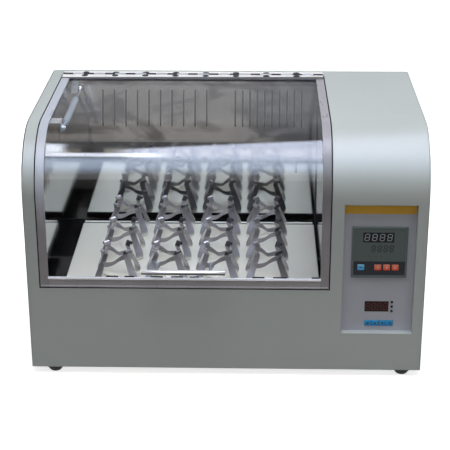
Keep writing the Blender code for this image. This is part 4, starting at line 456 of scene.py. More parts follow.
seam_shade_coat = powder_coat("coat_with_painted_seam_shade", coat_light, coat_dark)
# Painted shade: the coat turns near black wherever it faces up, on the left plate's rim.
feed(seam_shade_coat, "Base Color", blend_tones(colour_of(seam_shade_coat), (0.05, 0.052, 0.055),
                                          ease(facing_of(seam_shade_coat)["Z"], 0.30, 0.42)))
for end, inner_x, finish in (("left", -housing_width / 2, seam_shade_coat),
                             ("right", housing_width / 2 - steel_sheet, coat)):
    outline = shoulder_line(end_setback, 0, housing_depth) + [(housing_depth, 0)]
    plate = make_piece(f"{end}_end_plate", flat_plate(outline, inner_x, inner_x + steel_sheet),
                       finish)
    round_edges(plate, 0.0005)
    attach(plate, "housing")
    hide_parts(f"{end}_side_panel")


# Opening edge shade
# A thin black strip lies on the cut edge of the lid opening at both sides and below. It is
# painted shade, so that the gap round the lid shows as a dark line.

trim_depth, trim_sheet = 0.0078, 0.0006
trim_end = opening_back - 0.008


def oblong(left, right, low, high):
    """The outline of a rectangle."""
    return [(left, low), (right, low), (right, high), (left, high)]


def join_shapes(*shapes):
    """Put several bmeshes into the first one."""
    whole = shapes[0]
    for extra in shapes[1:]:
        mesh = bpy.data.meshes.new("part")
        extra.to_mesh(mesh)
        extra.free()
        whole.from_mesh(mesh)
        bpy.data.meshes.remove(mesh)
    return whole


# Painted shade: a black strip on the opening's edge for the dark gap round the lid.
gap_shade_trim = material_named("black_gap_shade_trim", (0.012, 0.012, 0.014), 0.7)
raise_surface(gap_shade_trim, 1200.0, 0.1)
trim_outline = shoulder_line(seat_gap, opening_low, trim_end)
trim_outline += shoulder_line(trim_depth, opening_low, trim_end)[::-1]
side_trims = [flat_plate(trim_outline, x, x + trim_sheet)
              for x in (opening_left, opening_right - trim_sheet)]
low_trim = flat_plate(oblong(seat_gap, trim_depth, opening_low, opening_low + trim_sheet),
                      opening_left + trim_sheet, opening_right - trim_sheet)
trim_piece = make_piece("opening_gap_shade_trim", join_shapes(*side_trims, low_trim), gap_shade_trim)
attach(trim_piece, "housing")


# Window clamping strip
# A pale metal strip inside the lid presses the window's lower edge against the frame. It is
# seen in the bright wall behind the tray. Its material glows faintly though it is no lamp,
# painted light that brightens it there.

strip_thickness, strip_rise, strip_reach = (0.0065, 0.0072), (0.1606, 0.1760), (-0.2900, 0.1680)
strip_with_painted_glow = material_named("pale_clamping_strip_painted_glow", (0.70, 0.68, 0.64), 0.45)
vary_roughness(strip_with_painted_glow, 90.0, 0.38, 0.52, (0.1, 1, 1))
shader = strip_with_painted_glow.node_tree.nodes["Principled BSDF"]
# Painted light: a faint warm glow in the strip's material.
shader.inputs["Emission Color"].default_value = (0.30, 0.28, 0.26, 1.0)
shader.inputs["Emission Strength"].default_value = 1.0
clamping = make_piece("window_clamping_strip",
                      flat_plate(oblong(*strip_thickness, *strip_rise), *strip_reach), strip_with_painted_glow)
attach(clamping, "lid")


# Back and bottom
# The back plate with its rows of vents and the folded bottom pan are plain pressings in the
# same coat, held by screws along the edges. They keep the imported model's shape.


def finish_node(name, finish):
    """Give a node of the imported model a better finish."""
    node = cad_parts[name]
    for place in node.material_slots:
        place.material = finish
    node.data.shade_smooth()
    node.data.set_sharp_from_angle(angle=math.radians(35))


for name in ("rear_panel", "base_pan"):
    finish_node(name, coat)


def turned(profile, middle, axis="Z", steps=40):
    """A turned shape: (radius, along) points spun round an axis through the middle."""
    spin = {"X": lambda r, c, s, a: (a, r * c, r * s), "Y": lambda r, c, s, a: (r * s, a, r * c),
            "Z": lambda r, c, s, a: (r * c, r * s, a)}[axis]
    circle = [(math.cos(2 * math.pi * k / steps), math.sin(2 * math.pi * k / steps))
              for k in range(steps)]
    shape = skin([[spin(radius, c, s, along) for c, s in (circle if radius else circle[:1])]
                  for radius, along in profile], profile[0] != profile[-1])
    shape.transform(Matrix.Translation(Vector(middle)))
    return shape


screw_zinc = material_named("zinc_plated_screw", (0.55, 0.56, 0.58), 0.28, 1.0)
vary_roughness(screw_zinc, 900.0, 0.22, 0.38)


def pan_head(middle, axis, side, radius=0.0028, rise=0.0014):
    """A low domed screw head that stands out along an axis, with a dimple in its middle."""
    dome = [(0, rise * 0.55), (radius * 0.18, rise * 0.55), (radius * 0.24, rise),
            (radius * 0.70, rise * 0.86), (radius * 0.95, rise * 0.45), (radius, 0)]
    return turned([(r, along * side) for r, along in dome], middle, axis, 20)


screw_columns, screw_rows, middle_row = (-0.338, -0.113, 0.113, 0.338), (0.008, 0.427), 0.218
back_screws = [(x, z) for x in screw_columns for z in screw_rows]
back_screws += [(x, middle_row) for x in (screw_columns[0], screw_columns[-1])]
heads = join_shapes(*[pan_head((x, housing_depth, z), "Y", 1) for x, z in back_screws])
heads_piece = make_piece("back_plate_screws", heads, screw_zinc)
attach(heads_piece, "housing")


# Feet
# Four moulded rubber feet with a wide rim at the top and a narrow tread, each held by a
# screw up its middle into the bottom pan.

rubber = material_named("black_rubber_foot", (0.012, 0.012, 0.013), 0.6)
vary_colour(rubber, 120.0, (0.010, 0.010, 0.011), (0.022, 0.022, 0.023))
raise_surface(rubber, 1500.0, 0.15)
foot_profile = [(0, 0.0040), (0.0030, 0.0040), (0.0030, 0.0006), (0.0075, 0.0004),
                (0.0090, 0.0), (0.0100, 0.0006), (0.0112, 0.0020), (0.0152, 0.0078),
                (0.0162, 0.0086), (0.0169, 0.0098), (0.0169, 0.0114), (0.0160, 0.0127),
                (0, 0.0127)]


def room_of(node):
    """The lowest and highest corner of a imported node, in the housing's own sizes."""
    return [corner - housing_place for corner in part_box(node)]


for corner in ("front_left", "front_right", "rear_left", "rear_right"):
    low, high = room_of(f"foot_{corner}")
    middle = (low + high) / 2
    foot = make_piece(f"rubber_foot_{corner}",
                      turned(foot_profile, (middle.x, middle.y, -housing_place.z)), rubber, 50)
    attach(foot, "housing")
    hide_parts(f"foot_{corner}")


# Drive under the chamber
# A folded deck carries three bearing housings, the cranks with their pulleys, the motor and a
# belt. Deck and pulleys are bare metal, the motor is painted black; none of it is dressed up.

cast = material_named("cast_metal", (0.30, 0.31, 0.32), 0.5, 1.0)
vary_colour(cast, 90.0, (0.26, 0.27, 0.28), (0.36, 0.37, 0.38))
raise_surface(cast, 700.0, 0.2)
bright_drive = material_named("machined_aluminium", (0.60, 0.61, 0.62), 0.3, 1.0)
vary_roughness(bright_drive, 300.0, 0.25, 0.40, (1, 1, 8))
black_enamel = material_named("black_motor_enamel", (0.025, 0.025, 0.027), 0.4)
vary_roughness(black_enamel, 60.0, 0.34, 0.48)
belt_rubber = material_named("belt_rubber", (0.015, 0.015, 0.016), 0.65)
raise_surface(belt_rubber, 800.0, 0.2, stretch=(1, 1, 0.2))
for name, finish in (("drive_deck", cast), ("drive_crank", cast), ("idler_crank_left", cast),
                     ("idler_crank_right", cast), ("drive_motor", black_enamel),
                     ("motor_pulley", bright_drive), ("tray_carrier", black_enamel),
                     ("drive_belt", belt_rubber)):
    finish_node(name, finish)


# Chamber
# The tub is folded from bright stainless steel and polished, so its back wall works as a
# mirror for the clamps. The wall leans back at the top, where two banks of air slots are cut.
# Below the tray's level the tub is painted black, and its right wall dark, as painted shade;
# the sloping top is painted with streaks of reflected room, a painted reflection.

well_top = 0.147 + housing_place.z
slope_start = 0.306 + housing_place.z
wall_shade_start = 0.1688
mirror_steel = material_named("bright_chamber_steel", (0.54, 0.54, 0.52), 0.06, 1.0)
vary_roughness(mirror_steel, 30.0, 0.04, 0.09)
raise_surface(mirror_steel, 9.0, 0.03, 0.002, detail=1.0)
wall = spots_of(mirror_steel)
# Painted shade: below the tray's level the tub is painted near black and not metallic.
clear_of_well_shade = ease(wall["Z"], well_top - 0.0004, well_top + 0.0004)
# Painted reflection: the sloping top gets streaks of reflected room, darker and bluer at the
# right.
reflection_streaks = ease(grain(mirror_steel, 8.0, (0.8, 2.2, 2.2), 3.0, 1.8), 0.40, 0.56)
left_slope_reflection = blend_tones((0.24, 0.215, 0.20), (0.62, 0.59, 0.565), reflection_streaks)
right_slope_reflection = blend_tones((0.155, 0.155, 0.18), (0.325, 0.33, 0.36), reflection_streaks)
slope_reflection_tone = blend_tones(left_slope_reflection, right_slope_reflection, ease(wall["X"], -0.02, 0.14))
wall_with_slope_reflection = blend_tones((0.42, 0.42, 0.405), slope_reflection_tone,
                         ease(wall["Z"], slope_start, slope_start + 0.012))
# Painted shade: the right wall is painted dark and not metallic, widening the gap by the tray.
right_wall_shade = ease(wall["X"], wall_shade_start, wall_shade_start + 0.0008)
feed(mirror_steel, "Metallic",
     work_out("MULTIPLY", clear_of_well_shade, work_out("SUBTRACT", 1.0, right_wall_shade)))
wall_with_well_shade = blend_tones((0.012, 0.012, 0.015), wall_with_slope_reflection, clear_of_well_shade)
feed(mirror_steel, "Base Color", blend_tones(wall_with_well_shade, (0.050, 0.052, 0.062), right_wall_shade))
finish_node("chamber_liner", mirror_steel)
seal_rubber = material_named("grey_seal_rubber", (0.030, 0.030, 0.032), 0.6)
raise_surface(seal_rubber, 900.0, 0.1)
finish_node("lid_seal", seal_rubber)

fan_metal = material_named("fan_aluminium", (0.55, 0.56, 0.57), 0.35, 1.0)
vary_roughness(fan_metal, 200.0, 0.3, 0.45)
heater_steel = material_named("heater_sheath", (0.20, 0.19, 0.18), 0.45, 1.0)
vary_colour(heater_steel, 60.0, (0.16, 0.14, 0.13), (0.30, 0.28, 0.27))
for name, finish in (("fan_wheel", fan_metal), ("fan_motor", black_enamel),
                     ("heater_element", heater_steel), ("temperature_probe", screw_zinc)):
    finish_node(name, finish)


# Shaking tray
# A stainless plate with its four edges folded down and a satin finish. Its last few millimetres
# at the back are painted near black, a painted shade. A bead along its back edge is painted near
# white, a painted highlight, and dark on its back, a painted shade. It is screwed to the
# carrier, and the clamps are screwed to it.

tray_steel = material_named("satin_tray_steel", (0.80, 0.80, 0.73), 0.42, 0.45)
vary_colour(tray_steel, 6.0, (0.785, 0.785, 0.715), (0.815, 0.815, 0.745))
vary_roughness(tray_steel, 40.0, 0.38, 0.46, (0.2, 3, 1))
tray_bend = 0.0022
# Painted shade: the last few millimetres at the tray's back are painted near black.
edge_shade_start, edge_shade_end = (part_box("shaking_tray")[1].y - step for step in (0.0048, 0.0042))
feed(tray_steel, "Base Color", blend_tones(colour_of(tray_steel), (0.06, 0.06, 0.065),
                                           ease(spots_of(tray_steel)["Y"], edge_shade_start, edge_shade_end)))
low, high = room_of("shaking_tray")
tray = flat_plate(oblong(low.x, high.x, low.y, high.y), low.z, high.z, "Z")
bottom = min(tray.faces, key=lambda face: face.calc_center_median().z)
bmesh.ops.delete(tray, geom=[bottom], context="FACES_ONLY")
tray_piece = make_piece("tray_plate", tray, tray_steel)
round_edges(tray_piece, tray_bend, 4)
thicken(tray_piece, steel_sheet)
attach(tray_piece, "tray")
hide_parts("shaking_tray")
bead_radius, bead_end = 0.0017, 0.003
bead_highlight_tone = (0.95, 0.95, 0.96)
# Painted highlight: the bead is near white; painted shade darkens its side that faces back.
bead_highlight_paint = material_named("tray_bead_painted_highlight", bead_highlight_tone, 0.3)
vary_roughness(bead_highlight_paint, 90.0, 0.25, 0.35, (0.2, 1, 1))
feed(bead_highlight_paint, "Base Color", blend_tones(bead_highlight_tone, (0.05, 0.05, 0.055),
                                           ease(facing_of(bead_highlight_paint)["Y"], 0.15, 0.4)))
bead_left, bead_right = low.x + bead_end, high.x - bead_end
bead = turned([(0, bead_left), (bead_radius, bead_left), (bead_radius, bead_right),
               (0, bead_right)], (0, high.y + bead_radius, high.z + bead_radius * 0.4), "X", 16)
bead_piece = make_piece("tray_back_bead", bead, bead_highlight_paint)
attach(bead_piece, "tray")


# Flask clamps
# Two strips of spring steel cross under a screw and stand up as four prongs, which lean in
# and are rolled at the top. A bent band of the same steel runs round them, high on one
# strip's prongs and low on the other's.

prong_path = [(0.900, 0.0), (0.975, 0.008), (1.0, 0.05), (0.995, 0.14), (0.93, 0.27),
              (0.80, 0.46), (0.68, 0.63), (0.58, 0.78), (0.535, 0.86), (0.56, 0.92), (0.64, 1.0)]
prong_reach, prong_width, prong_sheet, prong_narrowing = 0.0470, 0.0165, 0.0010, 0.27
clamp_height = 0.0640
roll_radius = 0.0030
band_height, band_low, band_sheet = 0.0100, 0.0395, 0.0008
band_corner, band_side, band_climb, band_lean = 0.0315, 0.0200, 0.0060, 0.0030
band_steps = 96
# Three clamps as they come: how far each side of the band sags, and how askew the band sits
band_settings = (((0.0020, 0.0035, 0.0010, 0.0030), 0.05),
                 ((0.0035, 0.0010, 0.0030, 0.0020), -0.05),
                 ((0.0015, 0.0025, 0.0040, 0.0020), 0.02))

clamp_steel = material_named("clamp_spring_steel", (0.46, 0.44, 0.48), 0.26, 0.75)
vary_colour(clamp_steel, 30.0, (0.39, 0.38, 0.405), (0.48, 0.47, 0.495), detail=1.0)
vary_roughness(clamp_steel, 40.0, 0.28, 0.34, detail=1.0)
spring = spots_of(clamp_steel)
above_base = ease(spring["Z"], 0.0035, 0.0060)
based = blend_tones((0.80, 0.80, 0.73), colour_of(clamp_steel), above_base)
# Painted shade: the tops of the prongs on the clamp's +X side are painted near black.
shaded_right_tips = work_out("MULTIPLY", ease(spring["X"], 0.004, 0.010),
                       ease(spring["Z"], 0.0535, 0.0570))
based = blend_tones(based, (0.10, 0.095, 0.105), shaded_right_tips)
feed(clamp_steel, "Metallic", work_out("MULTIPLY", above_base, 0.75))
# Painted glint: the screw head in the middle of each clamp is painted near white.
off_middle = clamp_steel.node_tree.nodes.new("ShaderNodeVectorMath")
off_middle.operation = "LENGTH"
place = clamp_steel.node_tree.nodes.new("ShaderNodeTexCoord").outputs["Object"]
clamp_steel.node_tree.links.new(place, off_middle.inputs[0])
feed(clamp_steel, "Base Color",
     blend_tones((0.95, 0.96, 0.98), based, ease(off_middle.outputs["Value"], 0.0050, 0.0056)))


def smooth_path(points, steps=5):
    """Rounded corners: points on a curve that passes through the given ones."""
    full = [points[0]] + points + [points[-1]]
    result = []
    for a, b, c, d in zip(full, full[1:], full[2:], full[3:]):
        for k in range(steps):
            t = k / steps
            result.append(tuple(
                0.5 * (2 * q + (r - p) * t + (2 * p - 5 * q + 4 * r - s) * t * t
                       + (3 * q - p - 3 * r + s) * t * t * t)
                for p, q, r, s in zip(a, b, c, d)))
    return result + [points[-1]]


def bent_strip(path, width, sheet, turn):
    """A flat strip bent along (out, up) points and narrower high up, turned about Z."""
    rows = []
    for i, (out, rise) in enumerate(path):
        narrowed = min(max(rise / clamp_height - 0.2, 0) / 0.6, 1)
        half = width / 2 * (1 - prong_narrowing * narrowed)
        before, after = path[max(i - 1, 0)], path[min(i + 1, len(path) - 1)]
        along = Vector((after[0] - before[0], after[1] - before[1])).normalized()
        off = Vector((-along.y, along.x)) * sheet / 2
        rows.append([(out + off.x * s, w * half, rise + off.y * s)
                     for s, w in ((-1, -1), (-1, 1), (1, 1), (1, -1))])
    shape = skin(rows)
    shape.transform(Matrix.Rotation(turn, 4, "Z"))
    return shape


def prong_pair(lift, turn):
    """Two opposite prongs, one strip bent through its middle."""
    rise = clamp_height - prong_sheet / 2 - lift
    side = smooth_path([(r * prong_reach, lift + h * rise) for r, h in prong_path])
    return bent_strip([(-out, z) for out, z in side[::-1]] + side, prong_width, prong_sheet, turn)


def rolled_ends():
    """The four prong tips, each rolled into a small tube."""
    out, rise = prong_path[-1][0] * prong_reach, clamp_height - roll_radius - 0.0001
    half = prong_width * 0.70 / 2
    rolls = []
    for corner in range(4):
        tip = turned([(0, -half), (roll_radius, -half), (roll_radius, half), (0, half)],
                     (0, 0, 0), "Y", 12)
        tip.transform(Matrix.Rotation(math.pi / 4 + corner * math.pi / 2, 4, "Z")
                      @ Matrix.Translation((out, 0, rise)))
        rolls.append(tip)
    return rolls


def spring_band(sags, tilt):
    """The band: outermost at the prongs, drawn in between them. It sits high on one strip's
    prongs and low on the other's. Each side sags by its own amount, the whole sits askew."""
    rings = []
    for k in range(band_steps + 1):
        angle = 2 * math.pi * (k % band_steps) / band_steps
        wave = math.cos(4 * (angle - math.pi / 4))
        radius = (band_corner + band_side) / 2 + (band_corner - band_side) / 2 * wave
        climb = math.cos(2 * (angle - 3 * math.pi / 4))
        radius -= band_lean * climb
        sag = sags[int(4 * (k % band_steps) / band_steps + 0.5) % 4]
        low = band_low - sag * (1 - wave) / 2 + tilt * radius * math.cos(angle)
        low += band_climb * climb
        tall = band_height * (0.86 + 0.14 * wave)
        rings.append([(r * math.cos(angle), r * math.sin(angle), low + rise)
                      for r, rise in ((radius, 0), (radius, tall), (radius - band_sheet, tall),
                                      (radius - band_sheet, 0))])
    shape = skin(rings, ends_closed=False)
    bmesh.ops.remove_doubles(shape, verts=shape.verts, dist=1e-7)
    bmesh.ops.recalc_face_normals(shape, faces=shape.faces)
    return shape


base_lift = prong_sheet / 2
clamp_meshes = []
for sags, tilt in band_settings:
    clamp_shape = join_shapes(prong_pair(base_lift, math.pi / 4),
                              prong_pair(base_lift + prong_sheet, -math.pi / 4),
                              spring_band(sags, tilt), *rolled_ends(),
                              pan_head((0, 0, base_lift * 4), "Z", 1, 0.0048, 0.0026))
    clamp_meshes.append(mesh_of("spring_clamp", clamp_shape, clamp_steel, 30))
for row in range(1, 4):
    for column in range(1, 5):
        node = f"flask_clamp_{row}_{column}"
        low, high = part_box(node)
        middle = (low + high) / 2
        clamp = bpy.data.objects.new("spring_" + node, clamp_meshes[(row * 2 + column) % 3])
        scene.collection.objects.link(clamp)
        clamp.location = (middle.x, middle.y, low.z)
        round_edges(clamp, 0.0003, 1, 50)
        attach(clamp, "tray")
        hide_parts(node)


# Lid frame
# A steel frame bent to the line of the housing, with a wide strip on every side and its edges
# folded in. It is polished and lilac-grey, with its side strips darker. Up the shoulder the left
# strip is painted paler and bluer, a painted highlight, and the right strip darker and less
# glossy, a painted shade; the top of the right strip is painted a little paler again.

lid_gap = 0.002
frame_left, frame_right = opening_left + lid_gap, opening_right - lid_gap
frame_low, frame_back = opening_low + lid_gap, 0.3888
side_strip, low_strip, back_strip = 0.015, 0.020, 0.018
frame_sheet, frame_fold, strip_lap = 0.002, 0.007, 0.001

frame_metal = material_named("lid_frame_metal", (0.40, 0.385, 0.42), 0.30)
vary_roughness(frame_metal, 120.0, 0.26, 0.34, (1, 0.2, 0.2))
vary_colour(frame_metal, 25.0, (0.385, 0.37, 0.405), (0.415, 0.40, 0.435))
spot = spots_of(frame_metal)
left_strip = work_out("LESS_THAN", spot["X"], frame_left + side_strip + strip_lap)
right_strip = work_out("GREATER_THAN", spot["X"], frame_right - side_strip - strip_lap)
up_the_arc = ease(spot["Z"], 0.27, 0.36)
left_arc_highlight = work_out("MULTIPLY", left_strip, up_the_arc)
right_arc_shade = work_out("MULTIPLY", right_strip, up_the_arc)
right_top = work_out("MULTIPLY", right_strip, ease(spot["Z"], 0.405, 0.43))
# Painted highlight up the left arc, painted shade up the right arc.
tone = blend_tones(colour_of(frame_metal), (0.335, 0.322, 0.352),
                   work_out("ADD", left_strip, right_strip))
for toned, where in (((0.55, 0.585, 0.68), left_arc_highlight), ((0.22, 0.215, 0.225), right_arc_shade),
                     ((0.40, 0.39, 0.44), right_top)):
    tone = blend_tones(tone, toned, where)
feed(frame_metal, "Base Color", tone)
feed(frame_metal, "Specular IOR Level",
     work_out("SUBTRACT", 0.5, work_out("MULTIPLY", right_arc_shade, 0.08)))
frame_line = [(0, frame_low), (0, frame_low + low_strip)]
frame_line += shoulder_line(0, shoulder_low, frame_back - back_strip)[1:]
frame_line += [(frame_back, housing_height)]
frame_columns = [frame_left, frame_left + side_strip, frame_right - side_strip, frame_right]
last_row = len(frame_line) - 2
lid, grid = sheet_with_openings(frame_columns, frame_line,
                                lambda i, j: i != 1 or j == 0 or j == last_row)
inner = [(frame_fold, frame_low), (frame_fold, frame_low + low_strip)]
inner += shoulder_line(frame_fold, shoulder_low, frame_back - back_strip)[1:]
inner += [(frame_back, housing_height - frame_fold)]
fold = [[lid.verts.new((x, y, z)) for y, z in inner] for x in (frame_left, frame_right)]
for j in range(last_row + 1):
    lid.faces.new((grid[0][j], grid[0][j + 1], fold[0][j + 1], fold[0][j]))
    lid.faces.new((grid[3][j + 1], grid[3][j], fold[1][j], fold[1][j + 1]))
lid.faces.new((grid[0][0], fold[0][0], fold[1][0], grid[3][0], grid[2][0], grid[1][0]))
lid.faces.new((grid[0][-1], grid[1][-1], grid[2][-1], grid[3][-1], fold[1][-1], fold[0][-1]))
frame_piece = make_piece("lid_frame_bent", lid, frame_metal)
thicken(frame_piece, frame_sheet)
round_edges(frame_piece, 0.0005)
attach(frame_piece, "lid")
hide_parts("lid_frame")

ledge_top = frame_low + low_strip
ledge_bright = material_named("frame_ledge_metal", (0.86, 0.86, 0.90), 0.25, 0.4)
vary_roughness(ledge_bright, 90.0, 0.2, 0.32, (0.1, 1, 1))
ledge_line = [(0.0, ledge_top - 0.0052), (-0.0014, ledge_top - 0.0040), (0.0, ledge_top),
              (0.0015, ledge_top)]
ledge = make_piece("frame_window_ledge",
                   flat_plate(ledge_line, frame_left + side_strip - strip_lap,
                              frame_right - side_strip + strip_lap), ledge_bright)
round_edges(ledge, 0.0004)
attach(ledge, "lid")
lip_line = [(0.0002, frame_low + 0.0003), (-0.0010, frame_low + 0.0008),
            (-0.0010, frame_low + 0.0024), (0.0002, frame_low + 0.0042)]
lip = make_piece("frame_lower_lip", flat_plate(lip_line, frame_left + 0.0008,
                                               frame_right - 0.0008), frame_metal)
round_edges(lip, 0.0003)
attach(lip, "lid")


# Window edge blocks
# Eight small blocks of black rubber sit between the window's lower edge and the frame at
# listed, unevenly spaced places, and show as a row of short dark marks along that edge.

edge_block_rubber = material_named("black_edge_block_rubber", (0.014, 0.014, 0.016), 0.6)
raise_surface(edge_block_rubber, 1200.0, 0.1)
edge_block_places = ((-0.199, 0.021), (-0.169, 0.017), (-0.1206, 0.021), (-0.085, 0.021),
                 (-0.0545, 0.017), (0.0579, 0.021), (0.0954, 0.024), (0.158, 0.014))
edge_block_outline = oblong(0.0002, 0.0019, ledge_top, ledge_top + 0.0022)
edge_blocks = join_shapes(*[flat_plate(edge_block_outline, x - width / 2, x + width / 2)
                        for x, width in edge_block_places])
edge_blocks_piece = make_piece("window_edge_blocks", edge_blocks, edge_block_rubber)
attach(edge_blocks_piece, "lid")


# Lid window
# One sheet of clear acrylic, warmed and bent over a former to the shoulder's line, held in the
# frame from inside. It is lightly scratched from wiping.

window_inset, window_sheet = frame_sheet + seat_gap, 0.004
acrylic = material_named("clear_acrylic_sheet", (1.0, 1.0, 1.0), 0.03, 1.0)
vary_roughness(acrylic, 45.0, 0.0, 0.06, (0.3, 2, 2))
raise_surface(acrylic, 7.0, 0.012, 0.002, detail=1.0)
gloss = acrylic.node_tree.nodes.new("ShaderNodeLayerWeight")
gloss.inputs["Blend"].default_value = 0.5
grazing = work_out("POWER", gloss.outputs["Facing"], 5.0)
mirrored = work_out("ADD", 0.045, work_out("MULTIPLY", grazing, 0.9))
bend = ease(work_out("ABSOLUTE", facing_of(acrylic)["Z"]), 0.05, 0.45)
share = work_out("ADD", 0.2, work_out("MULTIPLY", bend, 0.8))
feed(acrylic, "Alpha", work_out("MULTIPLY", mirrored, share))
window_low, window_back = frame_low + window_inset, frame_back - window_inset
outer_line = shoulder_line(window_inset, window_low, window_back)
inner_line = shoulder_line(window_inset + window_sheet, window_low, window_back)
window = flat_plate(outer_line + inner_line[::-1], frame_left + window_inset,
                    frame_right - window_inset)
window_piece = make_piece("lid_window_bent", window, acrylic)
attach(window_piece, "lid")
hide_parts("lid_window")


# Lid handle
# A chromed steel bar with turned ends on two cast posts, which are screwed on through the
# window from inside. A small collar seats each post on the acrylic. The bar is painted near
# white on top and near black underneath, a painted highlight and a painted shade.

handle_radius, handle_length, handle_out, handle_z = 0.0042, 0.146, 0.030, 0.2025
post_radius, post_spacing = 0.0030, 0.094
bar_painted_light = material_named("handle_chrome_painted_light", (0.86, 0.86, 0.88), 0.14, 0.45)
# Painted highlight on top of the bar, painted shade underneath.
feed(bar_painted_light, "Base Color", blend_tones((0.025, 0.025, 0.03), (0.93, 0.93, 0.96),
                                           ease(facing_of(bar_painted_light)["Z"], -0.25, 0.15)))
vary_roughness(bar_painted_light, 80.0, 0.07, 0.13)
handle_x = (frame_left + frame_right) / 2
half = handle_length / 2
bar = turned([(0, -half), (handle_radius * 0.62, -half), (handle_radius * 0.86, -half + 0.0004),
              (handle_radius, -half + 0.0014), (handle_radius, half - 0.0014),
              (handle_radius * 0.86, half - 0.0004), (handle_radius * 0.62, half), (0, half)],
             (handle_x, -handle_out, handle_z), "X")
posts = [turned([(0, 0), (post_radius, 0), (post_radius, handle_out - 0.0015),
                 (0.0052, handle_out - 0.0008), (0.0058, handle_out),
                 (0.0058, handle_out + window_inset), (0, handle_out + window_inset)],
                (handle_x + side * post_spacing / 2, -handle_out, handle_z), "Y", 24)
         for side in (-1, 1)]
handle_piece = make_piece("chromed_handle", bar, bar_painted_light)
posts_piece = make_piece("handle_posts", join_shapes(*posts), cast)
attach(posts_piece, "lid")
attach(handle_piece, "lid")
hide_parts("lid_handle")


# Piano hinge
# Two rolled steel leaves share one pin: thirteen knuckles belong to the housing's leaf and
# twelve to the lid's. Eight pairs of small screws hold the leaves down. The housing's knuckles
# are painted near black and the lid's mid grey, painted shade and painted light on one steel.
# The lid leaf's front strip is painted dark along a slightly askew line, a painted shade, and a
# black strip just behind the housing's leaf is a painted shadow line.

hinge_y, hinge_z = 0.392, 0.4361
knuckle_radius, knuckle_count, leaf_sheet = 0.0026, 25, 0.0010
knuckle_pitch = (frame_right - frame_left) / knuckle_count
leaf_low = housing_height + seat_gap
leaf_tone, shaded_edge, edge_slant = (0.95, 0.955, 0.97), hinge_y - 0.0157 + housing_place.y, 0.020
leaf_steel = material_named("hinge_leaf_steel", leaf_tone, 0.35)
vary_roughness(leaf_steel, 200.0, 0.30, 0.42, (0.2, 1, 1))
# Painted shade: the lid leaf's front strip is painted near black, its edge a little askew.
leaf = spots_of(leaf_steel)
across_edge = work_out("SUBTRACT", leaf["Y"], work_out("MULTIPLY", leaf["X"], edge_slant))
feed(leaf_steel, "Base Color",
     blend_tones((0.11, 0.11, 0.12), leaf_tone,
                 ease(across_edge, shaded_edge - 0.0006, shaded_edge + 0.0006)))
# Painted shade on the housing's knuckles, painted light on the lid's.
shaded_knuckle_paint = material_named("hinge_knuckle_painted_shade", (0.045, 0.045, 0.055), 0.45, 0.1, 0.1)
vary_roughness(shaded_knuckle_paint, 200.0, 0.50, 0.62, (0.2, 1, 1))
lid_knuckle_painted_light = material_named("lid_knuckle_painted_light", (0.36, 0.36, 0.38), 0.45, 0.3)
vary_roughness(lid_knuckle_painted_light, 200.0, 0.36, 0.5, (0.2, 1, 1))
screw_black = material_named("blackened_screw", (0.020, 0.020, 0.024), 0.6)
vary_roughness(screw_black, 900.0, 0.55, 0.65)


def hinge_leaf(side, reach):
    """A flat leaf with a tab at every knuckle. Side is -1 for the lid's leaf."""
    near = hinge_y + side * (knuckle_radius + seat_gap)
    far = hinge_y + side * reach
    parts = [flat_plate(oblong(frame_left, frame_right, far, near), leaf_low,
                        leaf_low + leaf_sheet, "Z")]
    for i in range(0 if side > 0 else 1, knuckle_count, 2):
        start = frame_left + i * knuckle_pitch + seat_gap
        end = start + knuckle_pitch - 2 * seat_gap
        parts.append(flat_plate(oblong(start, end, hinge_y, near), leaf_low,
                                leaf_low + leaf_sheet, "Z"))
    return join_shapes(*parts)


def hinge_knuckles(first):
    """Every second knuckle of the hinge, rolled round the pin."""
    r, bevel = knuckle_radius, 0.0005
    length = knuckle_pitch - 2 * bevel
    profile = [(0, 0), (r * 0.84, 0), (r, bevel), (r, length - bevel), (r * 0.84, length),
               (0, length)]
    return join_shapes(*[turned(profile, (frame_left + i * knuckle_pitch + bevel, hinge_y,
                                          hinge_z), "X", 16)
                         for i in range(first, knuckle_count, 2)])


for name, shape, finish, body, node in (
        ("housing_leaf", hinge_leaf(1, 0.021), leaf_steel, "housing", "cabinet_hinge_leaf"),
        ("housing_knuckles", hinge_knuckles(0), shaded_knuckle_paint, "housing", None),
        ("lid_leaf", hinge_leaf(-1, 0.025), leaf_steel, "lid", "lid_hinge_leaf"),
        ("lid_knuckles", hinge_knuckles(1), lid_knuckle_painted_light, "lid", None)):
    piece = make_piece(name, shape, finish)
    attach(piece, body)
    if node:
        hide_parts(node)

# Painted shadow: a black strip just behind the housing leaf's back edge.
edge_line = flat_plate(oblong(frame_left, frame_right, hinge_y + 0.0212, hinge_y + 0.0245),
                       leaf_low, leaf_low + 0.0004, "Z")
edge_piece = make_piece("rear_leaf_shadow_line", edge_line, screw_black)
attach(edge_piece, "housing")
first_screw, screw_pitch, screw_pairs, screw_row = -0.2827, 0.0589, 8, 0.0100
for name, body, y in (("rear_leaf_screws", "housing", hinge_y + screw_row),
                      ("front_leaf_screws", "lid", hinge_y - screw_row)):
    heads = join_shapes(*[pan_head((first_screw + k * screw_pitch, y, leaf_low + leaf_sheet), "Z",
                                   1, 0.0064, 0.0012) for k in range(screw_pairs)])
    heads_piece = make_piece(name, heads, screw_black)
    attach(heads_piece, body)


# Gas strut
# A steel tube coloured pale blue, a painted reflection, with a chromed rod that slides in it
# and an eye at each end. It hangs inside the lid at the left between two pressed and zinc-plated
# brackets.

strut_x, strut_z, strut_front, strut_rear = -0.2905, 0.415, 0.120, 0.366
tube_front, tube_back, rod_front = 0.150, 0.292, 0.200
chrome = material_named("bright_chrome", (0.78, 0.78, 0.80), 0.06, 1.0)
vary_roughness(chrome, 80.0, 0.04, 0.10)
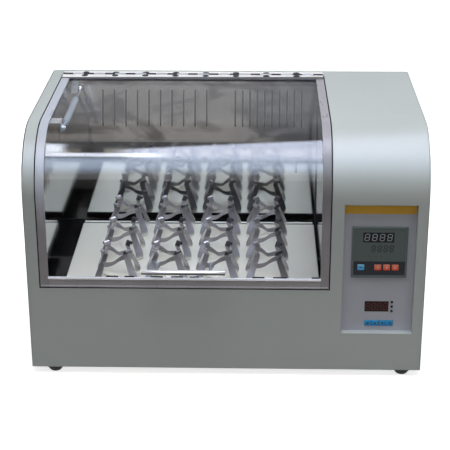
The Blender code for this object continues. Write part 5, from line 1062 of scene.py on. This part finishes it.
# Painted reflection: pale blue on the tube for reflected light.
tube_painted_reflection = material_named("pale_blue_painted_reflection", (0.46, 0.56, 0.68), 0.25, 0.35)
vary_colour(tube_painted_reflection, 70.0, (0.44, 0.54, 0.66), (0.50, 0.60, 0.72))


def eye(y, width=0.0050, radius=0.0065, bore=0.0029):
    """A flat ring with a bore, turned about X."""
    edge = 0.0006
    w = width / 2
    return turned([(bore, -w + edge), (bore + edge, -w), (radius - edge, -w), (radius, -w + edge),
                   (radius, w - edge), (radius - edge, w), (bore + edge, w), (bore, w - edge),
                   (bore, -w + edge)], (strut_x, y, strut_z), "X", 28)


tube_length, rod_length = tube_back - tube_front, strut_rear - rod_front
tube = turned([(0.0030, 0), (0.0052, 0.0004), (0.0060, 0.0020), (0.0060, tube_length - 0.0016),
               (0.0052, tube_length), (0.0030, tube_length)],
              (strut_x, tube_front, strut_z), "Y", 28)
neck = turned([(0.0021, 0.0050), (0.0021, 0.0260), (0.0030, 0.0275), (0.0030, 0.0302)],
              (strut_x, strut_front, strut_z), "Y", 20)
tube_piece = make_piece("strut_tube_drawn", join_shapes(tube, neck, eye(strut_front)), tube_painted_reflection)
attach(tube_piece, "strut_tube")
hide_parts("strut_tube")
rod_shape = turned([(0, 0), (0.0024, 0.0004), (0.0024, rod_length - 0.0120),
                    (0.0034, rod_length - 0.0110), (0.0034, rod_length - 0.0050),
                    (0, rod_length - 0.0040)], (strut_x, rod_front, strut_z), "Y", 20)
rod_piece = make_piece("strut_rod_plated", join_shapes(rod_shape, eye(strut_rear)), chrome)
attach(rod_piece, "strut_rod")
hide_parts("strut_rod")
fitting_plate = material_named("zinc_plated_fitting", (0.80, 0.82, 0.85), 0.22, 0.55)
vary_roughness(fitting_plate, 300.0, 0.16, 0.30)
for name in ("strut_lid_bracket", "strut_cabinet_bracket"):
    finish_node(name, fitting_plate)


# Control plate
# A flat aluminium plate, printed lilac-grey, lies at the bottom of the recess with cut-outs
# for the controller, the speed window, the lamps and keys. A gold band is printed across it.

plate_front = recess_depth
plate_print = material_named("lilac_grey_print", (0.50, 0.52, 0.60), 0.42)
vary_colour(plate_print, 8.0, (0.475, 0.49, 0.575), (0.52, 0.535, 0.61))
vary_roughness(plate_print, 900.0, 0.36, 0.50)
raise_surface(plate_print, 1800.0, 0.05)
finish_node("control_fascia", plate_print)
gold_print = material_named("gold_print", (0.88, 0.50, 0.06), 0.3, 0.25)
vary_colour(gold_print, 30.0, (0.84, 0.46, 0.05), (0.93, 0.55, 0.08), (0.3, 1, 1))


def thin_plate(left, right, low, high, front, sheet, corner=0.0, steps=6):
    """A thin plate facing forward, with rounded corners."""
    outline = []
    for cx, cz, start in ((right - corner, high - corner, 0), (left + corner, high - corner, 90),
                          (left + corner, low + corner, 180),
                          (right - corner, low + corner, 270)):
        for k in range(steps + 1 if corner else 1):
            angle = math.radians(start + 90 * k / steps)
            outline.append((cx + corner * math.cos(angle), cz + corner * math.sin(angle)))
    return flat_plate(outline, front, front + sheet, "Y")


gold_side, gold_low, gold_high, gold_sheet = 0.0012, 0.2974, 0.3126, 0.00015
gold = make_piece("gold_band", thin_plate(recess_left + gold_side, recess_right - gold_side,
                                          gold_low, gold_high, plate_front - gold_sheet,
                                          gold_sheet), gold_print)
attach(gold, "housing")


# Temperature controller
# A square panel instrument in a moulded grey-green case. Its glossy window shows two rows of
# digits, and a black strip below the window holds one blue and three red rubber keys.

case_plastic = material_named("grey_green_case", (0.125, 0.158, 0.158), 0.42)
raise_surface(case_plastic, 1600.0, 0.12)
vary_roughness(case_plastic, 300.0, 0.38, 0.48)
finish_node("controller_case", case_plastic)
window_plastic = material_named("grey_green_window", (0.135, 0.172, 0.172), 0.12)
vary_roughness(window_plastic, 40.0, 0.10, 0.16)
finish_node("controller_window", window_plastic)
window_face = room_of("controller_window")[0].y
dark_window = material_named("dark_readout", (0.022, 0.026, 0.034), 0.15)
vary_roughness(dark_window, 60.0, 0.12, 0.20)
print_sheet = 0.00012
readout = make_piece("upper_readout", thin_plate(0.2391, 0.2930, 0.2455, 0.2640,
                                                 window_face - print_sheet, print_sheet, 0.0008),
                     dark_window)
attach(readout, "housing")


def four_digits(first, pitch, low, high, width, bar, front, sheet, lean=0.10):
    """Four digits of seven bars each, all the same, drawn as flat six-cornered bars."""
    parts = []
    tall = (high - low - bar) / 2
    middle_z = (low + high) / 2
    wide = width - bar
    for x in (first + pitch * k for k in range(4)):
        bars = [(x, z, wide, True) for z in (high - bar / 2, middle_z, low + bar / 2)]
        bars += [(x + side * wide / 2, middle_z + lift * tall / 2, tall, False)
                 for side in (-1, 1) for lift in (-1, 1)]
        for cx, cz, length, flat in bars:
            h, b = length / 2 - bar * 0.15, bar / 2
            points = [(-h, 0), (-h + b, -b), (h - b, -b), (h, 0), (h - b, b), (-h + b, b)]
            if not flat:
                points = [(v, u) for u, v in points]
            outline = [(cx + u + lean * (cz + v - middle_z), cz + v) for u, v in points]
            parts.append(flat_plate(outline, front, front + sheet, "Y"))
    return join_shapes(*parts)


upper_digits = material_named("unlit_digit_grey", (0.36, 0.38, 0.40), 0.4)
vary_roughness(upper_digits, 900.0, 0.35, 0.45)
digits = make_piece("upper_digits",
                    four_digits(0.2462, 0.0131, 0.2482, 0.2616, 0.0088, 0.0015,
                                window_face - 2 * print_sheet, print_sheet), upper_digits)
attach(digits, "housing")
lower_digits = material_named("unlit_digit_purple", (0.038, 0.034, 0.044), 0.4)
vary_roughness(lower_digits, 900.0, 0.35, 0.45)
digits = make_piece("lower_digits",
                    four_digits(0.2580, 0.0104, 0.2272, 0.2402, 0.0074, 0.0019,
                                window_face - print_sheet, print_sheet), lower_digits)
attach(digits, "housing")
dot_radius, dot_row, dot_columns = 0.0009, 0.2193, (0.2413, 0.2521, 0.2621, 0.2721)
dot = [(0, 0), (dot_radius, 0), (dot_radius, print_sheet), (0, print_sheet)]
dots = join_shapes(*[turned(dot, (x, window_face - print_sheet, dot_row), "Y", 14)
                     for x in dot_columns])
dots_piece = make_piece("controller_dots", dots, lower_digits)
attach(dots_piece, "housing")

key_black = material_named("key_strip_black", (0.020, 0.022, 0.030), 0.35)
vary_roughness(key_black, 300.0, 0.30, 0.42)
case_low, case_high = room_of("controller_case")
strip_rim, strip_sheet = 0.0036, 0.0005
strip_low, strip_high = case_low.z + 0.0052, case_low.z + 0.0315
band_face = case_low.y + 0.0008
key_gap = 0.0004


def plate_with_holes(left, right, low, high, holes, front, sheet):
    """A flat plate with a row of rectangular holes, made from strips between them."""
    xs = sorted({left, right, *[h[0] for h in holes], *[h[1] for h in holes]})
    line = [(front, z) for z in sorted({low, high, holes[0][2], holes[0][3]})]
    shape = sheet_with_openings(xs, line, lambda i, j: not (
        j == 1 and any(h[0] < (xs[i] + xs[i + 1]) / 2 < h[1] for h in holes)))[0]
    made = bmesh.ops.extrude_face_region(shape, geom=shape.faces[:])
    moved = [v for v in made["geom"] if isinstance(v, bmesh.types.BMVert)]
    bmesh.ops.translate(shape, verts=moved, vec=(0, sheet, 0))
    bmesh.ops.recalc_face_normals(shape, faces=shape.faces)
    return shape


key_holes = []
for key in ("set", "shift", "down", "up"):
    low, high = room_of(f"controller_key_{key}")
    key_holes.append((low.x - key_gap, high.x + key_gap, low.z - key_gap, high.z + key_gap))
strip = make_piece("controller_key_strip",
                   plate_with_holes(case_low.x + strip_rim, case_high.x - strip_rim, strip_low,
                                    strip_high, key_holes, band_face - strip_sheet,
                                    strip_sheet), key_black)
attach(strip, "housing")


# Keys
# Every key is a moulded silicone button with rounded corners, in red, light blue or dark blue,
# with a small sign printed on its face: a bar, a ring or a triangle.


def key_rubber(name, deep, pale):
    """Rubber painted paler towards the top of the key, a painted light from above."""
    finish = material_named(name, deep, 0.42)
    ramp = finish.node_tree.nodes.new("ShaderNodeValToRGB")
    for stop, tone in zip(ramp.color_ramp.elements, (deep, pale)):
        stop.color = (*tone, 1.0)
    finish.node_tree.links.new(axes_of(finish.node_tree, "Generated")["Z"], ramp.inputs["Fac"])
    feed(finish, "Base Color", ramp.outputs["Color"])
    raise_surface(finish, 1800.0, 0.08)
    return finish


red_rubber = key_rubber("red_key_rubber", (1.0, 0.085, 0.030), (1.0, 0.30, 0.19))
sky_rubber = key_rubber("sky_blue_key_rubber", (0.060, 0.420, 1.0), (0.250, 0.70, 1.0))
blue_rubber = key_rubber("blue_key_rubber", (0.010, 0.200, 0.520), (0.020, 0.420, 0.850))
sign_white = material_named("pale_key_sign", (0.75, 0.55, 0.50), 0.5)
vary_roughness(sign_white, 900.0, 0.45, 0.55)
sign_dark = material_named("dark_key_sign", (0.006, 0.030, 0.110), 0.5)
vary_roughness(sign_dark, 900.0, 0.45, 0.55)


def make_key(name, node, finish, sign_outline, sign_finish):
    """A button in its node's place, with its sign on the face."""
    low, high = room_of(node)
    button = make_piece(name, thin_plate(low.x, high.x, low.z, high.z, low.y, high.y - low.y,
                                         0.0014), finish)
    round_edges(button, 0.0006, 3)
    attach(button, node)
    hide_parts(node)
    middle_x, middle_z = (low.x + high.x) / 2, (low.z + high.z) / 2
    outline = [(middle_x + u, middle_z + v) for u, v in sign_outline]
    sign = make_piece(name + "_sign", flat_plate(outline, low.y - 0.0001, low.y + 0.0002, "Y"),
                      sign_finish)
    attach(sign, node)


bar_sign = oblong(-0.0030, 0.0030, -0.0007, 0.0007)
down_sign = [(-0.0026, 0.0016), (0, -0.0024), (0.0026, 0.0016)]
up_sign = [(-0.0026, -0.0016), (0.0026, -0.0016), (0, 0.0024)]
left_sign = [(0.0016, -0.0026), (0.0016, 0.0026), (-0.0024, 0)]
ring_sign = [(0.0020 * math.cos(a), 0.0020 * math.sin(a))
             for a in (2 * math.pi * k / 16 for k in range(16))]
make_key("key_set", "controller_key_set", sky_rubber, bar_sign, sign_dark)
for key, sign in (("shift", left_sign), ("down", down_sign), ("up", up_sign)):
    make_key(f"key_{key}", f"controller_key_{key}", red_rubber, sign, sign_white)
for number, sign in enumerate((ring_sign, up_sign, down_sign, left_sign), 1):
    make_key(f"speed_button_{number}", f"speed_key_{number}", blue_rubber, sign,
             sign_dark)


# Speed window and lamps
# A dark red acrylic window lies over the speed digits of the board behind the plate, and
# three small lamps stand through the plate beside it.

speed_red = material_named("dark_red_window", (0.026, 0.008, 0.009), 0.12, specular=0.15)
vary_roughness(speed_red, 50.0, 0.10, 0.16)
finish_node("speed_window", speed_red)
low, high = room_of("speed_window")
dim_red = material_named("unlit_digit_red", (0.10, 0.024, 0.022), 0.35, specular=0.2)
vary_roughness(dim_red, 900.0, 0.3, 0.4)
digit_print = 0.0001
digits = make_piece("speed_digits",
                    four_digits(low.x + 0.0058, 0.0101, low.z + 0.0030, high.z - 0.0030, 0.0080,
                                0.0016, low.y - digit_print, digit_print), dim_red)
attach(digits, "housing")
board_green = material_named("circuit_board_green", (0.02, 0.10, 0.045), 0.5)
vary_colour(board_green, 400.0, (0.015, 0.08, 0.035), (0.03, 0.14, 0.06))
finish_node("speed_board", board_green)
lamp_glass = material_named("dark_lamp_lens", (0.012, 0.012, 0.020), 0.12)
vary_roughness(lamp_glass, 300.0, 0.10, 0.18)
lamp_x, lamp_z, lamp_pitch, lamp_radius = 0.2946, 0.1205, 0.0088, 0.0024
domes = [turned([(0, -0.0020), (lamp_radius * 0.5, -0.0018), (lamp_radius * 0.86, -0.0014),
                 (lamp_radius, -0.0007), (lamp_radius, 0), (0, 0)],
                (lamp_x, plate_front, lamp_z + step * lamp_pitch), "Y", 20)
         for step in (-1, 0, 1)]
lamps = make_piece("lamp_lenses", join_shapes(*domes), lamp_glass)
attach(lamps, "housing")


# Mains inlet
# A black moulded socket for the mains lead with a red power rocker above it. Both snap into
# one cut-out of the back plate.

socket_black = material_named("black_socket_moulding", (0.020, 0.020, 0.021), 0.38)
raise_surface(socket_black, 1500.0, 0.12)
vary_roughness(socket_black, 200.0, 0.34, 0.46)
finish_node("power_inlet", socket_black)
rocker_red = material_named("red_rocker_moulding", (0.55, 0.035, 0.025), 0.3)
vary_roughness(rocker_red, 200.0, 0.25, 0.36)
finish_node("power_rocker", rocker_red)
